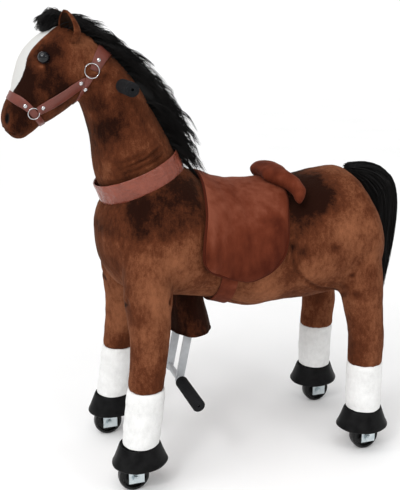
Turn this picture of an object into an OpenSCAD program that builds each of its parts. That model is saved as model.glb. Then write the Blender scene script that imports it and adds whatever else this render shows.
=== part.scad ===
// Ride-on plush horse on four ratchet castors.
// X points to the nose, Y to the horse's left, Z up; the origin is on the floor
// under the middle of the horse. The seat frame carries a front and a rear leg
// frame on two cross shafts, so that the legs spread when the rider sits down.

/* [Stance] */
// Height of both leg-frame pivots over the floor
pivot_z = 552; // [548:1:556]
// Front pivot, forward of the origin
front_pivot_x = 60; // [58:1:64]
// Rear pivot, forward of the origin
rear_pivot_x = -150; // [-156:1:-148]
// Sideways distance from the middle plane to each wheel
half_track = 126; // [124:1:128]
// Front castor stem, forward of the origin
front_stem_x = 222; // [220:1:224]
// Rear castor stem, forward of the origin
rear_stem_x = -303; // [-306:1:-300]

/* [Wheels] */
// Wheel radius
wheel_r = 32.5; // [31:0.5:33]
// Wheel width over the tread
wheel_w = 24; // [20:1:24]
// Axle radius
axle_r = 4; // [3:0.5:5]
// Front wheel, forward of its stem
front_wheel_lead = 10; // [6:1:12]
// Rear wheel, forward of its stem
rear_wheel_lead = -6; // [-8:1:0]

/* [Steering] */
// Collar centre, forward of the origin
collar_x = 180; // [178:1:182]
// Collar centre, height over the floor
collar_z = 640; // [638:1:642]
// Forward lean of the steering axis, degrees
steer_lean = 22.5; // [21:0.5:24]
// Handle bar, forward of the origin
handle_x = 222; // [218:1:226]
// Handle bar, height over the floor
handle_z = 829; // [825:1:833]
// Half length of the handle bar over its grips
handle_half = 152; // [140:1:160]

/* [Pedals] */
// Pedal lever pivot, forward of the origin
lever_x = 72; // [70:1:74]
// Pedal lever pivot, height over the floor
lever_z = 430; // [427:1:433]
// Foot pegs, forward of the origin
peg_x = 104; // [100:1:108]
// Foot pegs, height over the floor
peg_z = 192; // [188:1:196]
// Outer end of each foot peg from the middle plane
peg_half = 176; // [165:1:180]

/* [Tubes and walls] */
// Radius of both pivot shafts
shaft_r = 10; // [9:0.5:11]
// Radius of the leg tubes
leg_tube_r = 11; // [9:0.5:12]
// Thickness of the padded body cover
cover_t = 12; // [9:1:13]
// Thickness of the padded leg covers
leg_cover_t = 9; // [7:0.5:9]
// Radial clearance of each running fit
run_fit = 0.05; // [0.02:0.01:0.1]

/* [Hidden] */
$fn = 32;

brown = [0.22, 0.10, 0.05];
black = [0.04, 0.04, 0.045];
leather = [0.33, 0.10, 0.06];
suede = [0.37, 0.13, 0.06];
steel = [0.62, 0.64, 0.66];
paint = [0.66, 0.68, 0.70];
white = [0.92, 0.92, 0.90];
zinc = [0.76, 0.80, 0.82];

fine = 0.03; // clearance of parts that are fixed in each other
body_n = 20; // corners of a padded body ring
leg_n = 16; // corners of a leg ring
floor_gap = 82; // underside of the leg tubes over the floor
crown_z = 78; // top of the castor crown plate
fork_gap = wheel_w / 2 + 3.5; // middle plane of the wheel to each fork plate
pawl_pivot = [-13, 13]; // pawl pivot from the axle, along X and Z
ratchet_r = 13.5; // tooth tips of the ratchet ring
steer_dir = [sin(steer_lean), 0, cos(steer_lean)];

// ---------------------------------------------------------------- lofted covers
// A station is [U, L, half width, middle y, slope]: U and L are the [x, z] ends of
// the ring on its own plane, and slope raises the ring with y.
function station_y(s) = len(s) > 3 ? s[3] : 0;
function station_slope(s) = len(s) > 4 ? s[4] : 0;
function station_half(s) = norm(s[0] - s[1]) / 2;
function ring(s, n, grow = 0) =
    let (c = (s[0] + s[1]) / 2, a = (s[0] - s[1]) / 2 * (1 + grow / station_half(s)))
    [for (i = [0:n - 1])
        let (u = sin(360 * i / n), v = (s[2] + grow) * cos(360 * i / n))
        [c.x + a.x * u, station_y(s) + v, c.y + a.y * u + station_slope(s) * v]];
function middle(points) = [for (k = [0:2]) [for (p = points) p[k]] * [for (p = points) 1] / len(points)];
function flat(lists) = [for (l = lists) each l];
function strip(n, from, to, out = true) = flat([for (k = [0:n - 1])
    let (a = from + k, b = from + (k + 1) % n, c = to + (k + 1) % n, d = to + k)
    out ? [[a, d, c], [a, c, b]] : [[a, c, d], [a, b, c]]]);
function fan(n, ring_at, centre, start = true) = [for (k = [0:n - 1])
    start ? [centre, ring_at + k, ring_at + (k + 1) % n] : [centre, ring_at + (k + 1) % n, ring_at + k]];

// A solid pad between rings, closed at both ends.
module pad_loft(rings) {
    n = len(rings[0]);
    m = len(rings);
    points = concat(flat(rings), [middle(rings[0]), middle(rings[m - 1])]);
    sides = flat([for (i = [0:m - 2]) strip(n, i * n, (i + 1) * n)]);
    polyhedron(points, concat(sides, fan(n, 0, m * n), fan(n, (m - 1) * n, m * n + 1, false)));
}

// A padded cover of one thickness: open at the far end, and at the near end unless it is closed.
module cover_loft(outer, inner, closed_start = false) {
    n = len(outer[0]);
    m = len(outer);
    k = len(inner);
    base = m * n;
    points = concat(flat(outer), flat(inner), [middle(outer[0]), middle(inner[0])]);
    skin = flat([for (i = [0:m - 2]) strip(n, i * n, (i + 1) * n)]);
    lining = flat([for (i = [0:k - 2]) strip(n, base + i * n, base + (i + 1) * n, false)]);
    start_faces = closed_start
        ? concat(fan(n, 0, base + k * n), fan(n, base, base + k * n + 1, false))
        : strip(n, base, 0);
    end_faces = strip(n, (m - 1) * n, base + (k - 1) * n);
    polyhedron(points, concat(skin, lining, start_faces, end_faces));
}

module tube_cover(stations, n, wall) {
    cover_loft([for (s = stations) ring(s, n)], [for (s = stations) ring(s, n, -wall)]);
}

module mirrored(right) {
    if (right) mirror([0, 1, 0]) children();
    else children();
}

// ---------------------------------------------------------------- steel helpers
module rod(p, q, r) {
    v = q - p;
    translate(p) rotate([0, acos(v.z / norm(v)), atan2(v.y, v.x)]) cylinder(r = r, h = norm(v));
}
module cross_rod(x, z, r, y0, y1) {
    translate([x, y0, z]) rotate([-90, 0, 0]) cylinder(r = r, h = y1 - y0);
}
module cross_tube(x, z, r, bore, y0, y1) {
    difference() {
        cross_rod(x, z, r, y0, y1);
        cross_rod(x, z, bore, y0 - 1, y1 + 1);
    }
}
module side_plate(outline, y0, y1) {
    translate([0, y1, 0]) rotate([90, 0, 0]) linear_extrude(y1 - y0) polygon(outline);
}
function on_steer_axis(s) = [collar_x, 0, collar_z] + s * steer_dir;

// ---------------------------------------------------------------- seat frame
rail_y = [62, 67];
rail_z = [536, 568];
sleeve_half = 50; // half length of the leg frames' hinge sleeves

module seat_frame() {
    color(steel) {
        for (side = [-1, 1]) scale_side(side) {
            difference() {
                translate([-172, rail_y[0], rail_z[0]]) cube([254, rail_y[1] - rail_y[0], rail_z[1] - rail_z[0]]);
                cross_rod(front_pivot_x, pivot_z, shaft_r + fine, 60, 70);
                cross_rod(rear_pivot_x, pivot_z, shaft_r + fine, 60, 70);
            }
            side_plate([[8, 540], [40, 540], [86, 438], [82, 418], [62, 418]], 57, rail_y[0] + 0.2);
        }
        for (x = [-100, -20]) cross_rod(x, pivot_z, 8, -rail_y[0] - 0.5, rail_y[0] + 0.5);
        cross_rod(lever_x, lever_z, 6, -60, 60);
    }
}
module scale_side(side) { mirrored(side < 0) children(); }
module pivot_shafts() {
    color(zinc) for (x = [front_pivot_x, rear_pivot_x]) cross_rod(x, pivot_z, shaft_r, -70, 70);
}
module seat_board() {
    color([0.72, 0.56, 0.36]) translate([-120, -50, rail_z[1] + 0.4]) cube([160, 100, 10]);
}
// One torsion spring of square wire beside each end of each hinge sleeve: three turns and a tail.
module return_springs() {
    wire = 2.8;
    coil_r = shaft_r + 2.4;
    spring_y = sleeve_half + 2.2;
    color(steel)
    for (x = [front_pivot_x, rear_pivot_x], side = [-1, 1]) scale_side(side) {
        for (turn = [0:2])
            translate([x, spring_y + 3.1 * turn, pivot_z])
                rotate([90, 0, 0]) rotate_extrude() translate([coil_r, 0]) square(wire, center = true);
        rod([x, spring_y, pivot_z - coil_r], [x + (x > 0 ? 30 : -30), spring_y, pivot_z - coil_r], wire / 2 - 0.1);
    }
}

// ---------------------------------------------------------------- belly and saddle
// Barrel of the body: [x, lowest z, highest z, half width].
barrel = [
    [-135, 343, 611, 140], [-60, 340, 609, 140], [-19, 348, 610, 139],
    [20, 362, 620, 138], [48, 370, 632, 138], [90, 382, 650, 146]
];
function column(k) = [for (b = barrel) [b[0], b[k]]];
function barrel_at(x) = [lookup(x, column(1)), lookup(x, column(2)), lookup(x, column(3))];
function barrel_station(x) = let (b = barrel_at(x)) [[x, b[1]], [x, b[0]], b[2]];
function barrel_point(x, angle, lift) =
    let (b = barrel_at(x), h = (b[1] - b[0]) / 2)
    [x, (b[2] + lift) * cos(angle), (b[0] + b[1]) / 2 + (h + lift) * sin(angle)];

module belly_cover() {
    color(brown) tube_cover([for (x = [-120, -60, -19, 20, 48]) barrel_station(x)], body_n, cover_t);
}

// Flap outline of the saddle: [angle round the barrel, front x, rear x].
flap = [
    [-19, 38, 2], [-17, 62, -24], [-12, 80, -50], [-6, 87, -70], [2, 85, -90], [12, 82, -97], [28, 72, -104],
    [40, 67, -110], [55, 58, -120], [72, 50, -125], [90, 48, -126]
];
saddle_lift = [4, 12]; // inner and outer face over the barrel
// The front of the flap stands off a little more, because the chest swings under it.
function saddle_rise(x) = max(0, x - 20) * 0.1;
module saddle() {
    rows = concat(flap, [for (i = [len(flap) - 2:-1:0]) [180 - flap[i][0], flap[i][1], flap[i][2]]]);
    cols = 6;
    function face(lift) = [for (r = rows) [for (j = [0:cols])
        let (x = r[2] + (r[1] - r[2]) * j / cols) barrel_point(x, r[0], lift + saddle_rise(x))]];
    outer = face(saddle_lift[1]);
    inner = face(saddle_lift[0]);
    // each row becomes one closed ring of the pad: outer face forward, inner face back
    rings = [for (i = [0:len(rows) - 1])
        concat(outer[i], [for (j = [cols:-1:0]) inner[i][j]])];
    n = 2 * cols + 2;
    m = len(rings);
    sides = flat([for (i = [0:m - 2]) strip(n, i * n, (i + 1) * n, false)]);
    function end_cap(at, out) = flat([for (j = [0:cols - 1])
        let (a = at + j, b = at + j + 1, c = at + n - 2 - j, d = at + n - 1 - j)
        out ? [[a, b, c], [a, c, d]] : [[a, c, b], [a, d, c]]]);
    color(suede) polyhedron(flat(rings), concat(sides, end_cap(0, false), end_cap((m - 1) * n, true)));
}

// Padded roll across the rear of the saddle, with its ends as ear-shaped lobes.
module saddle_cantle() {
    x0 = -127;
    spread = 44; // degrees to each side of the top
    lift = saddle_lift[1] + 17.5;
    function roll(angle) =
        let (p = barrel_point(x0, angle, lift), q = barrel_point(x0, angle, lift + 1), out = (q - p) / norm(q - p),
             t = abs(angle - 90) / spread, deep = 15.5 * sqrt(1.02 - pow(t, 4)), wide = 28 * sqrt(1.02 - pow(t, 6)))
        [for (i = [0:11]) p + out * deep * sin(30 * i) + [wide * cos(30 * i), 0, 0]];
    color(suede) pad_loft([for (k = [-6:6]) roll(90 + spread * k / 6)]);
}

module girth_strap() {
    edge = [8, 36];
    function hoop(x, lift) = [for (a = [-22:-17:-158]) barrel_point(x, a, lift)];
    rings = [for (i = [0:8]) [hoop(edge[0], 4)[i], hoop(edge[1], 4)[i], hoop(edge[1], 1)[i], hoop(edge[0], 1)[i]]];
    color(suede) pad_loft(rings);
}

// Plush sleeve that hangs under the belly round the pedal bars.
module pedal_sleeve() {
    stations = [[76, 364, 36, 54], [72, 330, 40, 58], [68, 294, 42, 60]];
    color(brown) tube_cover([for (s = stations) [[s[0] + s[2], s[1]], [s[0] - s[2], s[1]], s[3]]], body_n, 4);
}

// ---------------------------------------------------------------- front frame
shoulder = [186, 520];
leg_top_y = 100;
bend_z = 150; // height where each leg tube turns upright
module leg_tubes(top, stem_x) {
    for (side = [-1, 1]) scale_side(side) {
        rod([top.x, leg_top_y, top.y], [stem_x, half_track, bend_z], leg_tube_r);
        difference() {
            translate([stem_x, half_track, floor_gap]) cylinder(r = leg_tube_r + 1, h = bend_z + 6 - floor_gap);
            translate([stem_x, half_track, floor_gap - 1]) cylinder(r = 6 + run_fit, h = bend_z - 4 - floor_gap);
        }
    }
}
module hinge_arms(pivot_x, top) {
    way = top.x > pivot_x ? 1 : -1;
    cross_tube(pivot_x, pivot_z, shaft_r + 6, shaft_r + run_fit, -sleeve_half, sleeve_half);
    cross_rod(top.x, top.y, leg_tube_r + 1, -leg_top_y - 8, leg_top_y + 8);
    for (y = [-38, 38]) rod([pivot_x + way * (shaft_r + 2.5), y, pivot_z - 3], [top.x, y, top.y], 9);
}
module front_frame() {
    color(steel) {
        hinge_arms(front_pivot_x, shoulder);
        leg_tubes(shoulder, front_stem_x);
        difference() {
            rod(on_steer_axis(-72), on_steer_axis(-22), 15);
            rod(on_steer_axis(-80), on_steer_axis(0), 10 + run_fit);
        }
        for (y = [-15, 11]) side_plate([[146, 566], [166, 613], [184, 606], [202, 524], [186, 508], [164, 522]], y, y + 4);
    }
}

// Elbow of rings from the belly round the chest to the collar.
chest_stations = [
    [[62, 638], [62, 374], 138], [[68, 646], [118, 384], 147], [[74, 650], [186, 398], 151],
    [[79, 651], [232, 424], 147], [[83, 652], [257, 471], 134], [[86, 652], [265, 520], 120],
    [[88, 652], [267, 556], 106], [[92, 653], [262, 582], 94]
];
module leg_hole(top, stem_x) {
    for (side = [-1, 1]) scale_side(side)
        rod([top.x, leg_top_y, top.y - 20], [stem_x, half_track, bend_z], leg_tube_r + 8);
}
module chest_cover() {
    color(brown) difference() {
        tube_cover(chest_stations, body_n, cover_t);
        leg_hole(shoulder, front_stem_x);
        translate([55, -54, 340]) cube([56, 108, 70]);
    }
}
module collar() {
    half = [98, 93];
    function hoop(s, grow) = ring(
        let (c = on_steer_axis(s), t = [-cos(steer_lean), sin(steer_lean)] * half[0])
        [[c.x, c.z] + t, [c.x, c.z] - t, half[1]], body_n + 4, grow);
    color(leather) cover_loft([for (s = [-20, 1, 22]) hoop(s, s == 1 ? 1 : 0)], [for (s = [-20, 22]) hoop(s, -4)]);
}

// ---------------------------------------------------------------- legs
// [x, y, z, half length, half width, slope] down the leg
front_leg = [
    [188, 106, 422, 50, 48, 1.0], [188, 109, 385, 46, 44, 0.6], [188, 112, 345, 42, 40, 0.2],
    [191, 117, 300, 39.5, 38, 0], [197, 121, 255, 37.5, 36, 0], [200, 123, 222, 37, 35.5, 0]
];
rear_leg = [
    [-294, 106, 384, 47, 46, 0.9], [-298, 110, 350, 44, 43, 0.5], [-301, 114, 315, 42, 41, 0.15],
    [-304, 118, 275, 40, 39, 0], [-303, 122, 240, 39, 38, 0], [-303, 123, 212, 38.5, 37, 0]
];
front_sock = [[200, 123, 221, 38, 37, 0], [204, 124, 185, 39.5, 38.5, 0], [209, 125, 145, 39.5, 38.5, 0], [214, 126, 105, 39, 38, 0]];
rear_sock = [[-303, 123, 211, 39, 38, 0], [-302, 125, 160, 39.5, 38.5, 0], [-303, 126, 105, 39, 38, 0]];
function leg_station(s) = [[s[0] + s[3], s[2]], [s[0] - s[3], s[2]], s[4], s[1], s[5]];
module leg_part(list, right, tint) {
    color(tint) mirrored(right) tube_cover([for (s = list) leg_station(s)], leg_n, leg_cover_t);
}

hoof_top = 103;
module hoof(x, stem_x, right) {
    color(black) mirrored(right) difference() {
        translate([x, half_track, 0]) rotate_extrude()
            polygon([[0, 84], [46, 84], [51, 55.5], [57, 54], [58.5, 60], [40.5, hoof_top], [0, hoof_top]]);
        translate([stem_x, half_track, 80]) cylinder(r = leg_tube_r + 1 + fine, h = 30);
    }
}

// ---------------------------------------------------------------- castors
module fork(stem_x, lead, right) {
    wx = stem_x + lead;
    plate = [33, 2.5];
    color(zinc) mirrored(right) translate([0, half_track, 0]) {
        difference() {
            union() {
                translate([stem_x + lead / 2 - 19, -20, crown_z - 3.5]) cube([38, 40, 3.5]);
                translate([stem_x, 0, crown_z - 1]) cylinder(r = 6, h = 62);
                translate([stem_x, 0, crown_z - 1]) cylinder(r = 10, h = 4);
                for (y = [-fork_gap - plate[1], fork_gap])
                    translate([wx - 19, y, wheel_r - 12]) cube([plate[0], plate[1], crown_z - wheel_r + 11]);
            }
            cross_rod(wx, wheel_r, axle_r + fine, -30, 30);
        }
        // pivot pin of the pawl, inside the outer plate
        cross_rod(wx + pawl_pivot[0], wheel_r + pawl_pivot[1], 1.5, fork_gap - 3, fork_gap + 0.2);
    }
}
module axle(stem_x, lead, right) {
    wx = stem_x + lead;
    out = fork_gap + 2.5 + fine;
    color(zinc) mirrored(right) translate([0, half_track, 0]) {
        cross_rod(wx, wheel_r, axle_r, -out - 7, out + 7);
        for (y = [-out - 1.5, out]) cross_rod(wx, wheel_r, 8.5, y, y + 1.5);
        for (y = [-out - 6, out + 1.5 - 0.1])
            translate([wx, y, wheel_r]) rotate([-90, 0, 0]) cylinder(r = 7, h = 4.6, $fn = 6);
    }
}
ratchet_teeth = 12;
module wheel(stem_x, lead, right) {
    tooth = 360 / ratchet_teeth;
    color(black) mirrored(right) translate([stem_x + lead, half_track, wheel_r]) rotate([-90, 0, 0]) {
        difference() {
            union() {
                rotate_extrude() polygon([
                    [0, -8], [11, -8], [11, -10], [16, -10], [17, -7], [24, -7], [25, -wheel_w / 2], [29, -wheel_w / 2],
                    [wheel_r - 1, -wheel_w / 2 + 3], [wheel_r, -4], [wheel_r, 4], [wheel_r - 1, wheel_w / 2 - 3],
                    [29, wheel_w / 2], [25, wheel_w / 2], [24, 7], [17, 7], [16, 8], [0, 8]]);
                translate([0, 0, 7]) linear_extrude(7)
                    polygon([for (k = [0:ratchet_teeth - 1]) each [
                        ratchet_r * [cos(k * tooth), sin(k * tooth)],
                        (ratchet_r - 2.5) * [cos(k * tooth + 3), sin(k * tooth + 3)]]]);
            }
            translate([0, 0, -20]) cylinder(r = axle_r + run_fit, h = 40);
        }
    }
}
// Sprung pawl between the wheel and the outer fork plate; its tail sticks out behind.
module pawl(stem_x, lead, right) {
    at = [stem_x + lead + pawl_pivot[0], wheel_r + pawl_pivot[1]];
    color(zinc) mirrored(right) translate([0, half_track, 0]) difference() {
        union() {
            cross_rod(at.x, at.y, 4, fork_gap - 2.6, fork_gap - 0.6);
            side_plate([[at.x - 2, at.y + 3.4], [at.x + 3, at.y + 3], [at.x + 9, at.y + 3.2], [at.x + 9.5, at.y + 1.6],
                [at.x + 2, at.y - 2.5], [at.x - 3, at.y - 2.6], [at.x - 15, at.y - 7.5], [at.x - 16, at.y - 4]],
                fork_gap - 2.6, fork_gap - 0.6);
        }
        cross_rod(at.x, at.y, 1.5 + run_fit, 0, 30);
    }
}

// ---------------------------------------------------------------- rear frame
croup = [-290, 530];
module rear_frame() {
    color(steel) {
        hinge_arms(rear_pivot_x, croup);
        leg_tubes(croup, rear_stem_x);
    }
}
// [upper point, lower point, half width] from the tail forward
rump = [
    [[-354, 515], [-366, 468], 46], [[-343, 550], [-366, 434], 90], [[-329, 586], [-356, 403], 122],
    [[-314, 612], [-336, 383], 140], [[-298, 626], [-312, 368], 150], [[-279, 634], [-284, 360], 152],
    [[-245, 632], [-245, 352], 152], [[-200, 625], [-200, 348], 150], [[-165, 616], [-165, 346], 145],
    [[-134, 606], [-134, 345], 139]
];
module rump_cover() {
    color(brown) difference() {
        cover_loft([for (s = rump) ring(s, body_n)],
            [for (i = [1:len(rump) - 1]) let (s = rump[i], in = i == 1 ? 7 : 0)
                ring([s[0] + [in, 0], s[1] + [in, 0], s[2]], body_n, -cover_t)], true);
        leg_hole(croup, rear_stem_x);
    }
}
module tail() {
    stations = [
        [[-416, 334], [-405, 338], 5], [[-425, 395], [-386, 397], 16], [[-436, 448], [-377, 450], 25],
        [[-441, 507], [-374, 507], 30], [[-438, 560], [-372, 550], 32], [[-426, 597], [-366, 577], 32],
        [[-396, 626], [-352, 598], 28], [[-354, 640], [-340, 616], 22], [[-308, 638], [-306, 630], 11]
    ];
    color(black) pad_loft([for (s = stations) ring(s, 12)]);
}

// ---------------------------------------------------------------- neck and head
module steering_shaft() {
    bend = on_steer_axis(162);
    clamp = [handle_x, 0, handle_z];
    color(zinc) {
        rod(on_steer_axis(-74), bend, 10);
        rod(on_steer_axis(-21.5), on_steer_axis(-15), 16);
        difference() {
            union() {
                rod(bend - 4 * steer_dir, clamp, 9.9);
                cross_rod(handle_x, handle_z, 14, -24, 24);
            }
            cross_rod(handle_x, handle_z, 9 + fine, -30, 30);
        }
    }
}
module handle_bar() {
    color(zinc) cross_tube(handle_x, handle_z, 9, 7.5, -handle_half + 6, handle_half - 6);
}
module grip(x, z, y0, y1, r, bore, right) {
    color(black) mirrored(right) translate([x, y0, z]) rotate([-90, 0, 0]) difference() {
        rotate_extrude() polygon([[0, 0], [r - 1, 0], [r, 1.5], [r, y1 - y0 - 3], [r - 3, y1 - y0], [0, y1 - y0]]);
        translate([0, 0, -1]) cylinder(r = bore + fine, h = y1 - y0 - 5);
        cylinder(r = 2.5, h = y1 - y0 + 1);
    }
}

neck_stations = [
    [on_flat(-12, 89), on_flat(-12, -89), 85], [on_flat(24, 90), on_flat(24, -88), 85],
    [[127, 738], [270, 667], 83], [[153, 785], [273, 718], 76], [[180, 832], [279, 752], 71],
    [[212, 872], [287, 780], 67], [[245, 903], [295, 800], 65]
];
// A point on the steering axis at s, moved back across the axis by t.
function on_flat(s, t) = let (c = on_steer_axis(s)) [c.x, c.z] + t * [-cos(steer_lean), sin(steer_lean)];
module neck_cover() {
    color(brown) difference() {
        tube_cover(neck_stations, body_n, cover_t);
        cross_rod(handle_x, handle_z, 11, -90, 90);
    }
}
head_stations = [
    [[246, 905], [297, 801], 65], [[285, 932], [305, 792], 67], [[318, 945], [318, 781], 70],
    [[350, 932], [335, 770], 70], [[380, 912], [352, 760], 66], [[402, 884], [368, 752], 58],
    [[414, 852], [382, 742], 49], [[423, 816], [395, 733], 43], [[436, 793], [408, 727], 41],
    [[443, 770], [424, 731], 34], [[442, 757], [433, 740], 18]
];
module head_cover() {
    color(brown) pad_loft([for (s = head_stations) ring(s, body_n)]);
}

// A point on the head at station t (fractions between stations) and angle, lifted off the surface.
function blend_pair(list, t) =
    let (i = max(0, min(len(list) - 2, floor(t))), f = t - i) list[i] * (1 - f) + list[i + 1] * f;
function head_point(t, angle, lift) =
    let (u = blend_pair([for (s = head_stations) s[0]], t), l = blend_pair([for (s = head_stations) s[1]], t),
         w = blend_pair([for (s = head_stations) s[2]], t), c = (u + l) / 2, a = (u - l) / 2,
         g = 1 + lift / norm(a))
    [c.x + a.x * g * sin(angle), (w + lift) * cos(angle), c.y + a.y * g * sin(angle)];
// Flat strap on the head between two edges, each a list of [station, angle].
module head_strap(one, two, lift = [1.2, 3.6]) {
    rings = [for (i = [0:len(one) - 1]) [
        head_point(one[i][0], one[i][1], lift[1]), head_point(two[i][0], two[i][1], lift[1]),
        head_point(two[i][0], two[i][1], lift[0]), head_point(one[i][0], one[i][1], lift[0])]];
    pad_loft(rings);
}
module noseband() {
    angles = [for (k = [0:23]) 15 * k];
    function edge(dt, lift) = [for (a = angles) head_point(6.12 + 1.2 * sin(a) + dt, a, lift)];
    cover_loft([edge(-0.3, 3.6), edge(0.3, 3.6)], [edge(-0.3, 1.2), edge(0.3, 1.2)]);
}
ring_small = [5.68, -22.5];
ring_big = [0.3, 2];
module halter_straps() {
    color(leather) {
        noseband();
        for (right = [false, true]) mirrored(right)
            head_strap([[5.0, -21], [3.8, -23.5], [2.6, -23.5], [1.6, -19.5], [0.75, -13]],
                [[5.0, -36], [3.8, -39], [2.6, -38.5], [1.6, -34.5], [0.75, -28]]);
        head_strap(
            [for (a = [-30:-15:-150]) [0.05 + 0.62 * pow(sin(a), 2), a]],
            [for (a = [-30:-15:-150]) [0.42 + 0.62 * pow(sin(a), 2), a]]);
        head_strap(
            [for (a = [22:17:158]) [0.05 + 0.15 * pow(sin(a), 2), a]],
            [for (a = [22:17:158]) [-0.62 + 0.64 * pow(sin(a), 2), a]]);
    }
}
module on_head(at, lift) { translate(head_point(at[0], at[1], lift)) rotate([-90, 0, 0]) children(); }
module halter_rings() {
    color(zinc) for (right = [false, true]) mirrored(right) {
        on_head(ring_small, 8.5) rotate_extrude() translate([10, 0]) circle(1.6);
        on_head(ring_big, 8.5) rotate_extrude() translate([13.5, 0]) circle(1.7);
    }
}
module halter_rivets() {
    spots = [[4.6, -28.5], [6.25, 4], [1.0, -22], [0.22, -34], [-0.2, 27]];
    color(zinc) for (right = [false, true], at = spots) mirrored(right)
        on_head(at, 5.7) rotate_extrude() polygon([[0, 0], [3.6, 0], [3.2, 1], [2, 1.8], [0, 2.1]]);
}

module ear(right) {
    // [x, y, z, half length, half width] up the ear
    list = [[324, 43, 974, 3, 2], [321, 45, 965, 10, 5], [317, 47, 950, 16, 8], [314, 49, 936, 15, 9], [313, 50, 927, 9, 6]];
    color(brown) mirrored(right) pad_loft([for (s = list) ring([[s[0] + s[3], s[2]], [s[0] - s[3], s[2]], s[4], s[1]], 12)]);
}
module eyes() {
    color(black) for (right = [false, true]) mirrored(right)
        translate([369, 63, 884]) rotate([-72, 0, -12]) intersection() {
            translate([0, 0, -6]) sphere(13);
            cylinder(r = 13, h = 20);
        }
}
module mane() {
    crest = [[96, 708], [122, 745], [148, 792], [175, 839], [207, 880], [240, 911], [281, 941], [312, 954]];
    tips = [[46, 690], [58, 752], [88, 805], [128, 853], [172, 896], [216, 923], [252, 948], [292, 967]];
    wide = [9, 15, 19, 21, 21, 20, 17, 9];
    color(black) pad_loft([for (i = [0:len(crest) - 1]) ring([tips[i], crest[i], wide[i]], 12)]);
}
module forelock() {
    color(black) pad_loft([for (s = [
        [[320, 968], [320, 952], 10], [[334, 970], [332, 948], 20], [[352, 962], [348, 940], 20], [[372, 936], [368, 928], 9]
    ]) ring(s, 12)]);
}

// ---------------------------------------------------------------- pedal lever
module pedal_bars() {
    bar_half = 9;
    bar_y = [35.5, 40.5];
    knee = [78, 320];
    color(paint) {
        cross_tube(lever_x, lever_z, 11, 6 + run_fit, -44, 44);
        for (side = [-1, 1]) scale_side(side) difference() {
            side_plate([
                [lever_x - bar_half, lever_z + 6], [lever_x + bar_half, lever_z + 6], [knee.x + bar_half, knee.y],
                [peg_x + bar_half, peg_z - 4], [peg_x + 4, peg_z - 11], [peg_x - 4, peg_z - 11],
                [peg_x - bar_half, peg_z - 4], [knee.x - bar_half, knee.y]], bar_y[0], bar_y[1]);
            cross_rod(lever_x, lever_z, 6 + run_fit, 30, 45);
        }
        cross_rod(peg_x, peg_z, 7, -peg_half + 8, peg_half - 8);
    }
}

seat_frame();
pivot_shafts();
seat_board();
return_springs();
belly_cover();
saddle();
saddle_cantle();
girth_strap();
pedal_sleeve();
front_frame();
chest_cover();
collar();
leg_part(front_leg, false, brown);  // front_left_leg_cover
leg_part(front_leg, true, brown);  // front_right_leg_cover
leg_part(front_sock, false, white);  // front_left_sock
leg_part(front_sock, true, white);  // front_right_sock
hoof(217, front_stem_x, false);  // front_left_hoof
hoof(217, front_stem_x, true);  // front_right_hoof
fork(front_stem_x, front_wheel_lead, false);  // front_left_fork
fork(front_stem_x, front_wheel_lead, true);  // front_right_fork
axle(front_stem_x, front_wheel_lead, false);  // front_left_axle
axle(front_stem_x, front_wheel_lead, true);  // front_right_axle
wheel(front_stem_x, front_wheel_lead, false);  // front_left_wheel
wheel(front_stem_x, front_wheel_lead, true);  // front_right_wheel
pawl(front_stem_x, front_wheel_lead, false);  // front_left_pawl
pawl(front_stem_x, front_wheel_lead, true);  // front_right_pawl
rear_frame();
rump_cover();
tail();
leg_part(rear_leg, false, brown);  // rear_left_leg_cover
leg_part(rear_leg, true, brown);  // rear_right_leg_cover
leg_part(rear_sock, false, white);  // rear_left_sock
leg_part(rear_sock, true, white);  // rear_right_sock
hoof(rear_stem_x, rear_stem_x, false);  // rear_left_hoof
hoof(rear_stem_x, rear_stem_x, true);  // rear_right_hoof
fork(rear_stem_x, rear_wheel_lead, false);  // rear_left_fork
fork(rear_stem_x, rear_wheel_lead, true);  // rear_right_fork
for (right = [false, true]) axle(rear_stem_x, rear_wheel_lead, right);  // rear_axles
wheel(rear_stem_x, rear_wheel_lead, false);  // rear_left_wheel
wheel(rear_stem_x, rear_wheel_lead, true);  // rear_right_wheel
pawl(rear_stem_x, rear_wheel_lead, false);  // rear_left_pawl
pawl(rear_stem_x, rear_wheel_lead, true);  // rear_right_pawl
steering_shaft();
handle_bar();
grip(handle_x, handle_z, 74, handle_half, 13.5, 9, false);  // left_grip
grip(handle_x, handle_z, 74, handle_half, 13.5, 9, true);  // right_grip
neck_cover();
head_cover();
ear(false);  // left_ear
ear(true);  // right_ear
eyes();
mane();
forelock();
halter_straps();
halter_rings();
halter_rivets();
pedal_bars();
grip(peg_x, peg_z, 55, peg_half, 13.5, 7, false);  // left_foot_peg
grip(peg_x, peg_z, 55, peg_half, 13.5, 7, true);  // right_foot_peg
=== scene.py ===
"""Looks of a plush ride-on horse on four ratchet castors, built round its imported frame.

Every sub-assembly is a class that holds its own sizes and builds and dresses its pieces, and every
finish is a small frozen class that makes one material. Tables of stations are in millimetres, as the
part's source has them, and become metres where a mesh is made.
"""

import logging
import math
from dataclasses import dataclass
from enum import Enum
from typing import Sequence

import bmesh
import bpy
import numpy as np
from mathutils import Matrix, Vector, noise
from mathutils.bvhtree import BVHTree


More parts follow.
